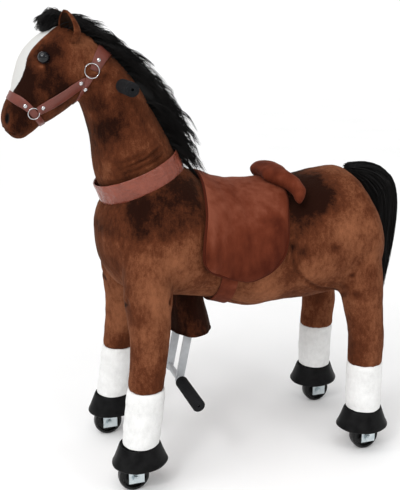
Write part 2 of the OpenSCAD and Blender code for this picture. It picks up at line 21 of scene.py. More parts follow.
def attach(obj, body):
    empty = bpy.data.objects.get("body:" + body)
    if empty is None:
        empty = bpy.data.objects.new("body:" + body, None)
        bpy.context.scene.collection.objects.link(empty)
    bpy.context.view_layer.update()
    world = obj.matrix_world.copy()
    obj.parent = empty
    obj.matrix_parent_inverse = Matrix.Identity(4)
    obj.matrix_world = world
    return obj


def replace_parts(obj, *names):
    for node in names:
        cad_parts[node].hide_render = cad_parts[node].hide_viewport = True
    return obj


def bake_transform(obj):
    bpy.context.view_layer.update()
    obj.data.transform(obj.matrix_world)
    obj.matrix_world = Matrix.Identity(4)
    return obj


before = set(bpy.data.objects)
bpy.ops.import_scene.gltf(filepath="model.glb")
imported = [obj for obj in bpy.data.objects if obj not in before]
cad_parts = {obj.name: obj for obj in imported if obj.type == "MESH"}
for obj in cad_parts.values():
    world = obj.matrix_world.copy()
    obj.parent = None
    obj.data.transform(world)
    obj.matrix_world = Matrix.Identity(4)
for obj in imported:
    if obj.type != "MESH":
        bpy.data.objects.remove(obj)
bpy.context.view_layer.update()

LOG = logging.getLogger("ride_on_horse")
MM = 0.001

Colour = tuple[float, float, float]
Point = tuple[float, float, float]
Flat = tuple[float, float]


class Side(Enum):
    """Which side of the horse a piece is on, with its sign along Y."""

    LEFT = 1
    RIGHT = -1

    @property
    def word(self) -> str:
        """The side's name in piece and node names."""
        return self.name.lower()


class Slot(Enum):
    """The record's material slots that pieces take their finish from."""

    PLUSH = "plush_brown"
    SOCK = "plush_white"
    HAIR = "fur_black"
    SUEDE = "suede"
    LEATHER = "leather"
    RUBBER = "rubber_black"
    FOAM = "foam_black"
    ZINC = "zinc"
    CHROME = "chrome"
    STEEL = "frame_steel"
    PAINT = "bar_paint"
    PLYWOOD = "plywood"
    EYE = "eye_black"


# ---------------------------------------------------------------- materials
class Graph:
    """A material's node tree, with short calls for the nodes that the finishes share."""

    def __init__(self, name: str) -> None:
        """Starts a material with its Principled shader.

        Args:
            name: the material's name.
        """
        self.material = bpy.data.materials.new(name)
        self.material.use_nodes = True
        self.tree = self.material.node_tree
        self.shader = self.tree.nodes["Principled BSDF"]
        self.space = self.tree.nodes.new("ShaderNodeTexCoord").outputs["Object"]

    def fix(self, **values: object) -> None:
        """Sets sockets of the shader by name, with underscores for spaces.

        Args:
            values: socket names and the constants that they take.
        """
        for key, value in values.items():
            name = key.replace("_", " ")
            if isinstance(value, tuple):
                value = (*value, 1.0)
            self.shader.inputs[name].default_value = value

    def join(self, source: bpy.types.NodeSocket, target: bpy.types.NodeSocket) -> None:
        """Links two sockets."""
        self.tree.links.new(source, target)

    def feed(self, name: str, source: bpy.types.NodeSocket) -> None:
        """Links a socket to one of the shader's named inputs."""
        self.join(source, self.shader.inputs[name])

    def grain(
        self, scale: float, detail: float = 2.0, stretch: Point = (1.0, 1.0, 1.0)
    ) -> bpy.types.NodeSocket:
        """Adds cloudy noise in object space.

        Args:
            scale: grains per metre.
            detail: octaves of finer noise.
            stretch: factors along X, Y and Z, below 1 for streaks along that axis.

        Returns:
            The noise value, about 0.5 in the middle.
        """
        place = self.tree.nodes.new("ShaderNodeMapping")
        place.inputs["Scale"].default_value = stretch
        self.join(self.space, place.inputs["Vector"])
        node = self.tree.nodes.new("ShaderNodeTexNoise")
        node.inputs["Scale"].default_value = scale
        node.inputs["Detail"].default_value = detail
        self.join(place.outputs[0], node.inputs["Vector"])
        return node.outputs[0]

    def cells(self, scale: float) -> bpy.types.NodeSocket:
        """Adds the distance to the nearest cell centre, for pores and pebbled grain."""
        node = self.tree.nodes.new("ShaderNodeTexVoronoi")
        node.inputs["Scale"].default_value = scale
        self.join(self.space, node.inputs["Vector"])
        return node.outputs["Distance"]

    def mesh_value(self, name: str) -> bpy.types.NodeSocket:
        """Adds a value that the mesh stores at its points."""
        node = self.tree.nodes.new("ShaderNodeAttribute")
        node.attribute_name = name
        return node.outputs["Fac"]

    def maths(
        self,
        operation: str,
        first: bpy.types.NodeSocket | float,
        second: bpy.types.NodeSocket | float,
        third: float = 0.0,
    ) -> bpy.types.NodeSocket:
        """Adds one arithmetic node.

        Args:
            operation: the node's operation, such as MULTIPLY_ADD.
            first: first operand, a socket or a number.
            second: second operand.
            third: third operand, where the operation has one.

        Returns:
            The result socket.
        """
        node = self.tree.nodes.new("ShaderNodeMath")
        node.operation = operation
        for index, value in enumerate((first, second, third)):
            if isinstance(value, bpy.types.NodeSocket):
                self.join(value, node.inputs[index])
            else:
                node.inputs[index].default_value = value
        return node.outputs[0]

    def sum(self, terms: Sequence[tuple[bpy.types.NodeSocket, float]],
            start: float) -> bpy.types.NodeSocket:
        """Adds weighted values.

        Args:
            terms: pairs of a value and its weight.
            start: the number that the sum starts from.

        Returns:
            The total.
        """
        total: bpy.types.NodeSocket | float = start
        for value, weight in terms:
            total = self.maths("ADD", self.maths("MULTIPLY", value, weight), total)
        return total

    def ramp(self, value: bpy.types.NodeSocket,
             stops: Sequence[tuple[float, Colour]]) -> bpy.types.NodeSocket:
        """Turns a value into a colour.

        Args:
            value: the value, from 0 to 1.
            stops: positions and their colours, in order.

        Returns:
            The colour.
        """
        node = self.tree.nodes.new("ShaderNodeValToRGB")
        band = node.color_ramp
        while len(band.elements) < len(stops):
            band.elements.new(0.5)
        for element, (position, colour) in zip(band.elements, stops):
            element.position = position
            element.color = (*colour, 1.0)
        self.join(value, node.inputs[0])
        return node.outputs[0]

    def spread(
        self, value: bpy.types.NodeSocket, low: float, high: float, out_low: float, out_high: float
    ) -> bpy.types.NodeSocket:
        """Maps a range of a value to another range, clamped.

        Args:
            value: the value.
            low: start of the range read.
            high: end of the range read.
            out_low: result at the start.
            out_high: result at the end.

        Returns:
            The mapped value.
        """
        node = self.tree.nodes.new("ShaderNodeMapRange")
        for index, number in enumerate((low, high, out_low, out_high), 1):
            node.inputs[index].default_value = number
        self.join(value, node.inputs[0])
        return node.outputs[0]

    def mix(
        self, share: bpy.types.NodeSocket, base: bpy.types.NodeSocket, over: bpy.types.NodeSocket | Colour
    ) -> bpy.types.NodeSocket:
        """Lays a colour over another.

        Args:
            share: how much of the upper colour shows.
            base: the lower colour.
            over: the upper colour, a socket or three numbers.

        Returns:
            The mixed colour.
        """
        node = self.tree.nodes.new("ShaderNodeMix")
        node.data_type = "RGBA"
        self.join(share, node.inputs[0])
        self.join(base, node.inputs[6])
        if isinstance(over, bpy.types.NodeSocket):
            self.join(over, node.inputs[7])
        else:
            node.inputs[7].default_value = (*over, 1.0)
        return node.outputs[2]

    def relief(self, layers: Sequence[tuple[bpy.types.NodeSocket, float]], strength: float = 1.0) -> None:
        """Stacks bump layers on the shader's normal.

        Args:
            layers: pairs of a height value and its depth in metres.
            strength: strength of every layer.
        """
        normal = None
        for height, depth in layers:
            node = self.tree.nodes.new("ShaderNodeBump")
            node.inputs["Strength"].default_value = strength
            node.inputs["Distance"].default_value = depth
            self.join(height, node.inputs["Height"])
            if normal is not None:
                self.join(normal, node.inputs["Normal"])
            normal = node.outputs[0]
        self.feed("Normal", normal)


@dataclass(frozen=True)
class PlushFinish:
    """Short dense pile whose tone follows what the mesh stores: stroked patches, with painted shade and
    painted highlights in places.
    """

    name: str
    deep: Colour
    middle: Colour
    bright: Colour
    sheen: Colour
    sheen_weight: float = 0.07
    marked: bool = False
    white: Colour = (0.60, 0.60, 0.585)

    def build(self) -> bpy.types.Material:
        """Makes the material.

        Returns:
            The plush material.
        """
        g = Graph(self.name)
        nap = g.grain(520.0, 3.0)
        tufts = g.grain(150.0, 3.0, (1.0, 1.0, 0.55))
        tone = g.sum([(g.mesh_value("pile"), 1.0), (nap, 0.55), (tufts, 0.55)], -0.55)
        colour = g.ramp(tone, [(0.0, self.deep), (0.5, self.middle), (1.0, self.bright)])
        if self.marked:
            ragged = g.sum([(g.mesh_value("blaze"), 1.0), (nap, 3.0)], -1.5)
            colour = g.mix(g.spread(ragged, -0.7, 0.7, 0.0, 1.0), colour, self.white)
            colour = g.mix(g.spread(g.mesh_value("ink"), 0.25, 0.75, 0.0, 1.0), colour,
                           (0.004, 0.003, 0.003))
        g.feed("Base Color", colour)
        g.fix(
            Roughness=0.95,
            Specular_IOR_Level=0.05,
            Sheen_Weight=self.sheen_weight,
            Sheen_Roughness=0.45,
            Sheen_Tint=self.sheen,
        )
        g.relief([(tufts, 0.0022), (nap, 0.0011)], 0.55)
        return g.material


@dataclass(frozen=True)
class HairFinish:
    """Long silky faux fur, with a tone of its own for each lock."""

    name: str = "long_black_fur"
    root: Colour = (0.0022, 0.0020, 0.0021)
    tip: Colour = (0.009, 0.008, 0.0077)

    def build(self) -> bpy.types.Material:
        """Makes the material.

        Returns:
            The fur material.
        """
        g = Graph(self.name)
        lock = g.mesh_value("lock")
        streak = g.grain(240.0, 2.0)
        tone = g.sum([(lock, 0.8), (streak, 0.4)], -0.1)
        g.feed("Base Color", g.ramp(tone, [(0.0, self.root), (1.0, self.tip)]))
        g.feed("Roughness", g.spread(lock, 0.0, 1.0, 0.42, 0.62))
        g.fix(Specular_IOR_Level=0.16, Anisotropic=0.5)
        return g.material


@dataclass(frozen=True)
class SuedeFinish:
    """Napped suede cloth, with soft blotches where the nap has been brushed."""

    name: str = "rust_suede"
    deep: Colour = (0.060, 0.0102, 0.0040)
    middle: Colour = (0.118, 0.0240, 0.0098)
    bright: Colour = (0.200, 0.056, 0.030)

    def build(self) -> bpy.types.Material:
        """Makes the material.

        Returns:
            The suede material.
        """
        g = Graph(self.name)
        blot = g.grain(17.0, 3.0)
        brushed = g.grain(60.0, 2.0, (1.0, 1.0, 0.35))
        nap = g.grain(900.0, 2.0)
        tone = g.sum([(g.mesh_value("pile"), 0.9), (blot, 1.0), (brushed, 0.8), (nap, 0.5)], -1.08)
        g.feed("Base Color", g.ramp(tone, [(0.0, self.deep), (0.5, self.middle), (1.0, self.bright)]))
        g.feed("Roughness", g.spread(tone, 0.0, 1.0, 0.93, 0.8))
        g.fix(Specular_IOR_Level=0.08, Sheen_Weight=0.05, Sheen_Roughness=0.5,
              Sheen_Tint=(0.75, 0.38, 0.28))
        g.relief([(blot, 0.0015), (nap, 0.0004)], 0.6)
        return g.material


@dataclass(frozen=True)
class LeatherFinish:
    """Smooth imitation leather with a fine pebbled grain and creases."""

    name: str
    dark: Colour
    light: Colour
    roughness: float = 0.36
    coat: float = 0.25
    crease: float = 0.0012

    def build(self) -> bpy.types.Material:
        """Makes the material.

        Returns:
            The leather material.
        """
        g = Graph(self.name)
        cloud = g.grain(38.0, 3.0)
        pebble = g.cells(900.0)
        crumple = g.grain(75.0, 4.0, (1.0, 1.0, 1.6))
        tone = g.sum([(cloud, 0.9), (pebble, 0.25)], -0.05)
        g.feed("Base Color", g.ramp(tone, [(0.15, self.dark), (0.85, self.light)]))
        g.feed("Roughness", g.spread(cloud, 0.3, 0.7, self.roughness - 0.07, self.roughness + 0.1))
        g.fix(Coat_Weight=self.coat, Coat_Roughness=0.25, Specular_IOR_Level=0.3)
        g.relief([(crumple, self.crease), (pebble, 0.00016)], 0.5)
        return g.material


@dataclass(frozen=True)
class RubberFinish:
    """Moulded black rubber or plastic, with scuffs and a faint grain."""

    name: str
    dark: Colour = (0.0028, 0.0028, 0.0030)
    worn: Colour = (0.0085, 0.0085, 0.0088)
    roughness: float = 0.42
    shine: float = 0.10
    grain_scale: float = 420.0
    grain_depth: float = 0.0004

    def build(self) -> bpy.types.Material:
        """Makes the material.

        Returns:
            The rubber material.
        """
        g = Graph(self.name)
        scuff = g.grain(55.0, 4.0)
        fine = g.grain(self.grain_scale, 2.0)
        g.feed("Base Color", g.ramp(scuff, [(0.35, self.dark), (0.75, self.worn)]))
        g.feed("Roughness", g.spread(scuff, 0.3, 0.7, self.roughness - 0.08, self.roughness + 0.12))
        g.fix(Specular_IOR_Level=self.shine)
        g.relief([(scuff, 0.0008), (fine, self.grain_depth)], 0.5)
        return g.material


@dataclass(frozen=True)
class FoamFinish:
    """Matt closed-cell foam with open pores."""

    name: str = "black_foam"

    def build(self) -> bpy.types.Material:
        """Makes the material.

        Returns:
            The foam material.
        """
        g = Graph(self.name)
        pores = g.cells(560.0)
        cloud = g.grain(70.0, 2.0)
        tone = g.sum([(cloud, 0.6), (pores, 0.5)], -0.05)
        g.feed("Base Color", g.ramp(tone, [(0.1, (0.004, 0.004, 0.0045)), (0.9, (0.018, 0.018, 0.020))]))
        g.fix(Roughness=0.88, Specular_IOR_Level=0.10)
        g.relief([(pores, 0.0005)], 0.6)
        return g.material


@dataclass(frozen=True)
class MetalFinish:
    """Plated or painted metal with fine brushing and spotting."""

    name: str
    colour: Colour
    spot: Colour
    metallic: float
    roughness: float
    brushing: Point = (1.0, 1.0, 0.08)

    def build(self) -> bpy.types.Material:
        """Makes the material.

        Returns:
            The metal material.
        """
        g = Graph(self.name)
        brushed = g.grain(900.0, 2.0, self.brushing)
        cloud = g.grain(90.0, 3.0)
        g.feed("Base Color", g.ramp(cloud, [(0.3, self.spot), (0.6, self.colour)]))
        g.feed("Roughness", g.spread(brushed, 0.2, 0.8, self.roughness * 0.75, self.roughness * 1.3))
        g.fix(Metallic=self.metallic)
        g.relief([(brushed, 0.00006), (cloud, 0.0002)], 0.4)
        return g.material


@dataclass(frozen=True)
class PlywoodFinish:
    """Raw plywood with long grain."""

    name: str = "raw_plywood"

    def build(self) -> bpy.types.Material:
        """Makes the material.

        Returns:
            The plywood material.
        """
        g = Graph(self.name)
        grain = g.grain(130.0, 5.0, (0.06, 1.0, 1.0))
        g.feed("Base Color", g.ramp(grain, [(0.3, (0.36, 0.22, 0.11)), (0.7, (0.62, 0.45, 0.27))]))
        g.fix(Roughness=0.7)
        g.relief([(grain, 0.0003)], 0.5)
        return g.material


@dataclass(frozen=True)
class EyeFinish:
    """Black domed plastic under a clear gloss."""

    name: str = "glossy_eye"

    def build(self) -> bpy.types.Material:
        """Makes the material.

        Returns:
            The eye material.
        """
        g = Graph(self.name)
        depth = g.grain(160.0, 2.0)
        g.feed("Base Color", g.ramp(depth, [(0.3, (0.0015, 0.0015, 0.002)), (0.7, (0.009, 0.010, 0.013))]))
        g.fix(Roughness=0.05, Specular_IOR_Level=0.42)
        return g.material


@dataclass(frozen=True)
class FloorFinish:
    """Plain pale studio floor."""

    name: str = "pale_floor"

    def build(self) -> bpy.types.Material:
        """Makes the material.

        Returns:
            The floor material.
        """
        g = Graph(self.name)
        cloud = g.grain(3.0, 2.0)
        g.feed("Base Color", g.ramp(cloud, [(0.3, (0.94, 0.94, 0.94)), (0.7, (0.96, 0.96, 0.96))]))
        g.fix(Roughness=0.9, Specular_IOR_Level=0.1)
        return g.material


class Wardrobe:
    """Every finish of the horse, made once and shared by its pieces."""

    def __init__(self) -> None:
        """Makes the materials."""
        brown = {"deep": (0.014, 0.0038, 0.0019), "middle": (0.092, 0.0258, 0.0104),
                 "bright": (0.250, 0.092, 0.043)}
        rim = (0.80, 0.48, 0.30)
        self.plush = PlushFinish("brown_plush", sheen=rim, **brown).build()
        self.face_plush = PlushFinish("face_plush", sheen=rim, marked=True, **brown).build()
        self.ear_lining = PlushFinish(
            "ear_lining", (0.003, 0.002, 0.0015), (0.016, 0.007, 0.004), (0.05, 0.02, 0.01), rim, 0.05
        ).build()
        self.sock = PlushFinish(
            "white_plush", (0.60, 0.60, 0.59), (0.77, 0.77, 0.76), (0.88, 0.88, 0.87), (1.0, 1.0, 1.0), 0.05
        ).build()
        self.hair = HairFinish().build()
        self.suede = SuedeFinish().build()
        self.leather = LeatherFinish("red_brown_leather", (0.105, 0.026, 0.018), (0.185, 0.050, 0.035),
                                     0.36, 0.12).build()
        self.collar = LeatherFinish(
            "creased_leather", (0.150, 0.034, 0.019), (0.275, 0.074, 0.045), 0.27, 0.16, 0.0075
        ).build()
        self.rubber = RubberFinish("hoof_rubber").build()
        self.wheel = RubberFinish("wheel_plastic", roughness=0.28, shine=0.25, grain_depth=0.0002).build()
        self.foam = FoamFinish().build()
        self.zinc = MetalFinish("zinc_plate", (0.62, 0.68, 0.70), (0.50, 0.57, 0.60), 1.0, 0.32).build()
        self.chrome = MetalFinish("polished_chrome", (0.62, 0.62, 0.63), (0.50, 0.50, 0.51), 1.0,
                                  0.16).build()
        self.steel = MetalFinish("black_powder_coat", (0.035, 0.035, 0.038), (0.028, 0.028, 0.030), 0.0,
                                 0.5).build()
        self.paint = MetalFinish("grey_paint", (0.50, 0.52, 0.54), (0.44, 0.46, 0.48), 0.0, 0.42).build()
        self.plywood = PlywoodFinish().build()
        self.eye = EyeFinish().build()
        self.floor = FloorFinish().build()


# ---------------------------------------------------------------- mesh tools
@dataclass(frozen=True)
class Station:
    """One ring of a padded form, in millimetres: its upper and lower ends on its own plane.

    The ring is half_width wide to each side of middle_y, and slope raises it with the distance from there.
    """

    upper: Flat
    lower: Flat
    half_width: float
    middle_y: float = 0.0
    slope: float = 0.0

    def ring(self, count: int, side: int = 1) -> np.ndarray:
        """The ring's points in metres.

        Args:
            count: points round the ring.
            side: 1 for the left, -1 for the mirrored piece.

        Returns:
            An array of count rows of x, y and z.
        """
        turn = np.linspace(0.0, 2 * math.pi, count, endpoint=False)
        up, out = np.sin(turn), self.half_width * np.cos(turn)
        centre = (np.array(self.upper) + np.array(self.lower)) / 2
        reach = (np.array(self.upper) - np.array(self.lower)) / 2
        x = centre[0] + reach[0] * up
        z = centre[1] + reach[1] * up + self.slope * out
        return np.stack([x, side * (self.middle_y + out), z], axis=1) * MM


def follow(points: Sequence[Sequence[float]] | np.ndarray, count: int) -> np.ndarray:
    """Runs one smooth curve through rows of numbers.

    Args:
        points: the rows that it passes through; a row may be a whole ring.
        count: rows wanted, evenly spaced in the row number.

    Returns:
        The rows on the curve.
    """
    rows = np.asarray(points, float)
    padded = np.concatenate([2 * rows[:1] - rows[1:2], rows, 2 * rows[-1:] - rows[-2:-1]])
    out = []
    for t in np.linspace(0.0, len(rows) - 1, count):
        i = min(int(t), len(rows) - 2)
        f = t - i
        a, b, c, d = padded[i : i + 4]
        out.append(
            0.5 * (2 * b + (c - a) * f + (2 * a - 5 * b + 4 * c - d) * f * f
                   + (3 * b - a - 3 * c + d) * f**3)
        )
    return np.array(out)


def new_piece(name: str, points: np.ndarray, faces: Sequence[Sequence[int]],
              smooth: bool = True) -> bpy.types.Object:
    """Makes a mesh object.

    Args:
        name: the piece's name.
        points: its vertices in metres.
        faces: vertex numbers of each face.
        smooth: whether its faces are shaded smooth.

    Returns:
        The object.
    """
    mesh = bpy.data.meshes.new(name)
    mesh.from_pydata(np.asarray(points).reshape(-1, 3).tolist(), [], [list(f) for f in faces])
    mesh.validate()
    mesh.polygons.foreach_set("use_smooth", [smooth] * len(mesh.polygons))
    mesh.update()
    piece = bpy.data.objects.new(name, mesh)
    bpy.context.scene.collection.objects.link(piece)
    return piece


def outward(piece: bpy.types.Object) -> bpy.types.Object:
    """Turns every face of a closed mesh to face out.

    Args:
        piece: a closed mesh object.

    Returns:
        The same object.
    """
    form = bmesh.new()
    form.from_mesh(piece.data)
    bmesh.ops.remove_doubles(form, verts=form.verts, dist=1e-6)
    bmesh.ops.recalc_face_normals(form, faces=form.faces)
    form.to_mesh(piece.data)
    form.free()
    return piece


def loft(name: str, rings: Sequence[np.ndarray], closed: bool = False) -> bpy.types.Object:
    """Skins a stack of rings.

    Args:
        name: the piece's name.
        rings: arrays of the same number of points.
        closed: whether the last ring joins the first, in place of the two end caps.

    Returns:
        The closed mesh object.
    """
    m, n = len(rings), len(rings[0])
    points = np.concatenate(rings)
    last = m if closed else m - 1
    faces: list[list[int]] = [
        [i * n + k, i * n + (k + 1) % n, (i + 1) % m * n + (k + 1) % n, (i + 1) % m * n + k]
        for i in range(last)
        for k in range(n)
    ]
    if not closed:
        points = np.concatenate([points, [rings[0].mean(0)], [rings[-1].mean(0)]])
        faces += [[m * n, k, (k + 1) % n] for k in range(n)]
        faces += [[m * n + 1, (m - 1) * n + k, (m - 1) * n + (k + 1) % n] for k in range(n)]
    return outward(new_piece(name, points, faces))


def settle(piece: bpy.types.Object) -> bpy.types.Object:
    """Applies the modifiers of a piece.

    Args:
        piece: the mesh object.

    Returns:
        The same object, with its final mesh.
    """
    bpy.context.view_layer.update()
    evaluated = piece.evaluated_get(bpy.context.evaluated_depsgraph_get())
    mesh = bpy.data.meshes.new_from_object(evaluated)
    piece.modifiers.clear()
    piece.data = mesh
    mesh.polygons.foreach_set("use_smooth", [True] * len(mesh.polygons))
    return piece


def subdivide(piece: bpy.types.Object, levels: int = 1) -> bpy.types.Object:
    """Subdivides a piece to a smooth surface."""
    piece.modifiers.new("finer", "SUBSURF").levels = levels
    return settle(piece)


def join(name: str, parts: Sequence[bpy.types.Object]) -> bpy.types.Object:
    """Joins meshes to one, keeping their material numbers.

    Args:
        name: name of the joined piece.
        parts: the objects, which are removed.

    Returns:
        The joined object.
    """
    form = bmesh.new()
    for part in parts:
        form.from_mesh(part.data)
    mesh = bpy.data.meshes.new(name)
    form.to_mesh(mesh)
    form.free()
    mesh.polygons.foreach_set("use_smooth", [True] * len(mesh.polygons))
    for part in parts:
        bpy.data.objects.remove(part)
    piece = bpy.data.objects.new(name, mesh)
    bpy.context.scene.collection.objects.link(piece)
    return piece


def fuse(name: str, parts: Sequence[bpy.types.Object], voxel: float, rounds: int) -> bpy.types.Object:
    """Grows overlapping closed forms into one skin with soft junctions.

    Args:
        name: name of the piece.
        parts: closed forms, which are removed.
        voxel: voxel size in metres.
        rounds: rounds of smoothing.

    Returns:
        The fused piece.
    """
    piece = join(name, parts)
    remesh = piece.modifiers.new("fuse", "REMESH")
    remesh.mode = "VOXEL"
    remesh.voxel_size = voxel
    smooth = piece.modifiers.new("soften", "SMOOTH")
    smooth.factor = 0.5
    smooth.iterations = rounds
    return settle(piece)


def read_points(piece: bpy.types.Object) -> np.ndarray:
    """The vertices of a piece as an array."""
    out = np.empty(len(piece.data.vertices) * 3)
    piece.data.vertices.foreach_get("co", out)
    return out.reshape(-1, 3)


def write_points(piece: bpy.types.Object, points: np.ndarray) -> None:
    """Moves the vertices of a piece."""
    piece.data.vertices.foreach_set("co", np.asarray(points, float).ravel())
    piece.data.update()


def read_normals(piece: bpy.types.Object) -> np.ndarray:
    """The vertex normals of a piece as an array."""
    out = np.empty(len(piece.data.vertices) * 3)
    piece.data.vertex_normals.foreach_get("vector", out)
    return out.reshape(-1, 3)


def store(piece: bpy.types.Object, name: str, values: np.ndarray) -> None:
    """Stores one number at every vertex, for the shader to read."""
    layer = piece.data.attributes.get(name) or piece.data.attributes.new(name, "FLOAT", "POINT")
    layer.data.foreach_set("value", np.asarray(values, np.float32))


def cloud(points: np.ndarray, scale: Point, seed: float, octaves: int = 3) -> np.ndarray:
    """Smooth noise at points.

    Args:
        points: rows of x, y and z in metres.
        scale: cycles per metre along each axis.
        seed: a shift that makes another pattern.
        octaves: octaves of detail.

    Returns:
        One value for each point, about -1 to 1.
    """
    at = points * np.array(scale) + seed
    return np.array([noise.fractal(Vector(p), 0.6, 2.0, octaves) for p in at])


def puff(piece: bpy.types.Object, cap: float, pressure: float = 4.0,
         pinned: np.ndarray | None = None) -> None:
    """Stuffs a closed form with a short cloth simulation, and caps how far it may swell.

    Args:
        piece: the closed form.
        cap: the furthest that a point may move, in metres.
        pressure: inner pressure.
        pinned: vertex numbers that a seam holds in place.
    """
    rest = read_points(piece)
    if pinned is not None and len(pinned):
        group = piece.vertex_groups.new(name="seams")
        group.add(pinned.tolist(), 1.0, "REPLACE")
    cloth = piece.modifiers.new("stuffing", "CLOTH")
    cloth.settings.quality = 4
    cloth.settings.mass = 0.3
    cloth.settings.use_pressure = True
    cloth.settings.uniform_pressure_force = pressure
    cloth.settings.effector_weights.gravity = 0.0
    cloth.collision_settings.use_collision = False
    if pinned is not None and len(pinned):
        cloth.settings.vertex_group_mass = "seams"
    cloth.point_cache.frame_start = 1
    cloth.point_cache.frame_end = 20
    scene = bpy.context.scene
    for step in range(1, 21):
        scene.frame_set(step)
    evaluated = piece.evaluated_get(bpy.context.evaluated_depsgraph_get())
    out = np.empty(len(rest) * 3)
    evaluated.data.vertices.foreach_get("co", out)
    piece.modifiers.remove(cloth)
    piece.vertex_groups.clear()
    scene.frame_set(1)
    move = out.reshape(-1, 3) - rest
    length = np.linalg.norm(move, axis=1, keepdims=True)
    write_points(piece, rest + move * np.minimum(1.0, cap / np.maximum(length, 1e-9)))


def distance_to_path(
    points: np.ndarray, path: Sequence[Point], scale: Point
) -> tuple[np.ndarray, np.ndarray]:
    """How far points are from a path, and how far along it.

    Args:
        points: rows of x, y and z in metres.
        path: points of the path in millimetres.
        scale: weights of x, y and z in the distance.

    Returns:
        The distances in metres, and the shares along the path from 0 to 1.
    """
    line = np.array(path, float) * MM * np.array(scale)
    at = points * np.array(scale)
    best = np.full(len(at), np.inf)
    share = np.zeros(len(at))
    for i in range(len(line) - 1):
        a, d = line[i], line[i + 1] - line[i]
        t = np.clip(((at - a) @ d) / max(d @ d, 1e-12), 0, 1)
        gap = np.linalg.norm(at - a - t[:, None] * d, axis=1)
        closer = gap < best
        best[closer] = gap[closer]
        share[closer] = (i + t[closer]) / (len(line) - 1)
    return best, share


@dataclass(frozen=True)
class Crease:
    """A sewn seam or a fold pressed into stuffed cloth, with soft banks beside it.

    The path is in millimetres, width and depth in millimetres too, and a negative depth raises a ridge.
    """

    path: tuple[Point, ...]
    width: float
    depth: float
    bank: float = 0.35
    both_sides: bool = True
    fade: float = 0.15
    y_weight: float = 1.0

    def press(self, piece: bpy.types.Object) -> None:
        """Moves the vertices of a piece along their normals.

        Args:
            piece: the stuffed piece.
        """
        points, normals = read_points(piece), read_normals(piece)
        for sign in (1, -1) if self.both_sides else (1,):
            mirrored = points * np.array([1, sign, 1])
            gap, share = distance_to_path(mirrored, self.path, (1.0, self.y_weight, 1.0))
            near = gap / (self.width * MM)
            ends = np.clip(np.minimum(share, 1 - share) / max(self.fade, 1e-3), 0.0, 1.0)
            ends = np.where(gap > 6 * self.width * MM, 0.0, ends)
            groove = np.exp(-(near**2)) - self.bank * np.exp(-((near - 2.4) ** 2))
            points = points - normals * (self.depth * MM * groove * ends)[:, None]
        write_points(piece, points)


@dataclass(frozen=True)
class Patch:
    """A patch of pile, in millimetres on the side view, lighter or darker than the rest: mostly stroked
    nap, in a few rows painted shade or a painted highlight.
    """

    x: float
    z: float
    radius: float
    tone: float


def pile_tone(points: np.ndarray, patches: Sequence[Patch], level: float, swing: float,
              seed: float) -> np.ndarray:
    """The tone of the pile at points, from the lie of its nap and from patches that in places are painted
    shade or painted highlights: 0 is dark, 1 is light.

    Args:
        points: rows of x, y and z in metres.
        patches: stroked patches of both sides.
        level: the tone between patches.
        swing: how much the cloudy noise changes it.
        seed: the noise's shift.

    Returns:
        One tone for each point.
    """
    warp = cloud(points, (22, 22, 22), seed + 3.1, 2)
    tone = level + swing * cloud(points, (15, 13, 9), seed, 4)
    for patch in patches:
        gap = np.hypot(points[:, 0] - patch.x * MM, (points[:, 2] - patch.z * MM) * 0.9)
        tone = tone + patch.tone * np.exp(-((gap / (patch.radius * MM * (1 + 0.35 * warp))) ** 2))
    return tone


def wear(piece: bpy.types.Object, material: bpy.types.Material,
         body: str | None) -> bpy.types.Object:
    """Gives a piece its material and the body that it rides on.

    Args:
        piece: the piece.
        material: its finish.
        body: the CAD body, or None to leave the piece without one.

    Returns:
        The piece.
    """
    piece.data.materials.clear()
    piece.data.materials.append(material)
    if body is not None:
        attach(piece, body)
    LOG.info("%s: %d faces", piece.name, len(piece.data.polygons))
    return piece


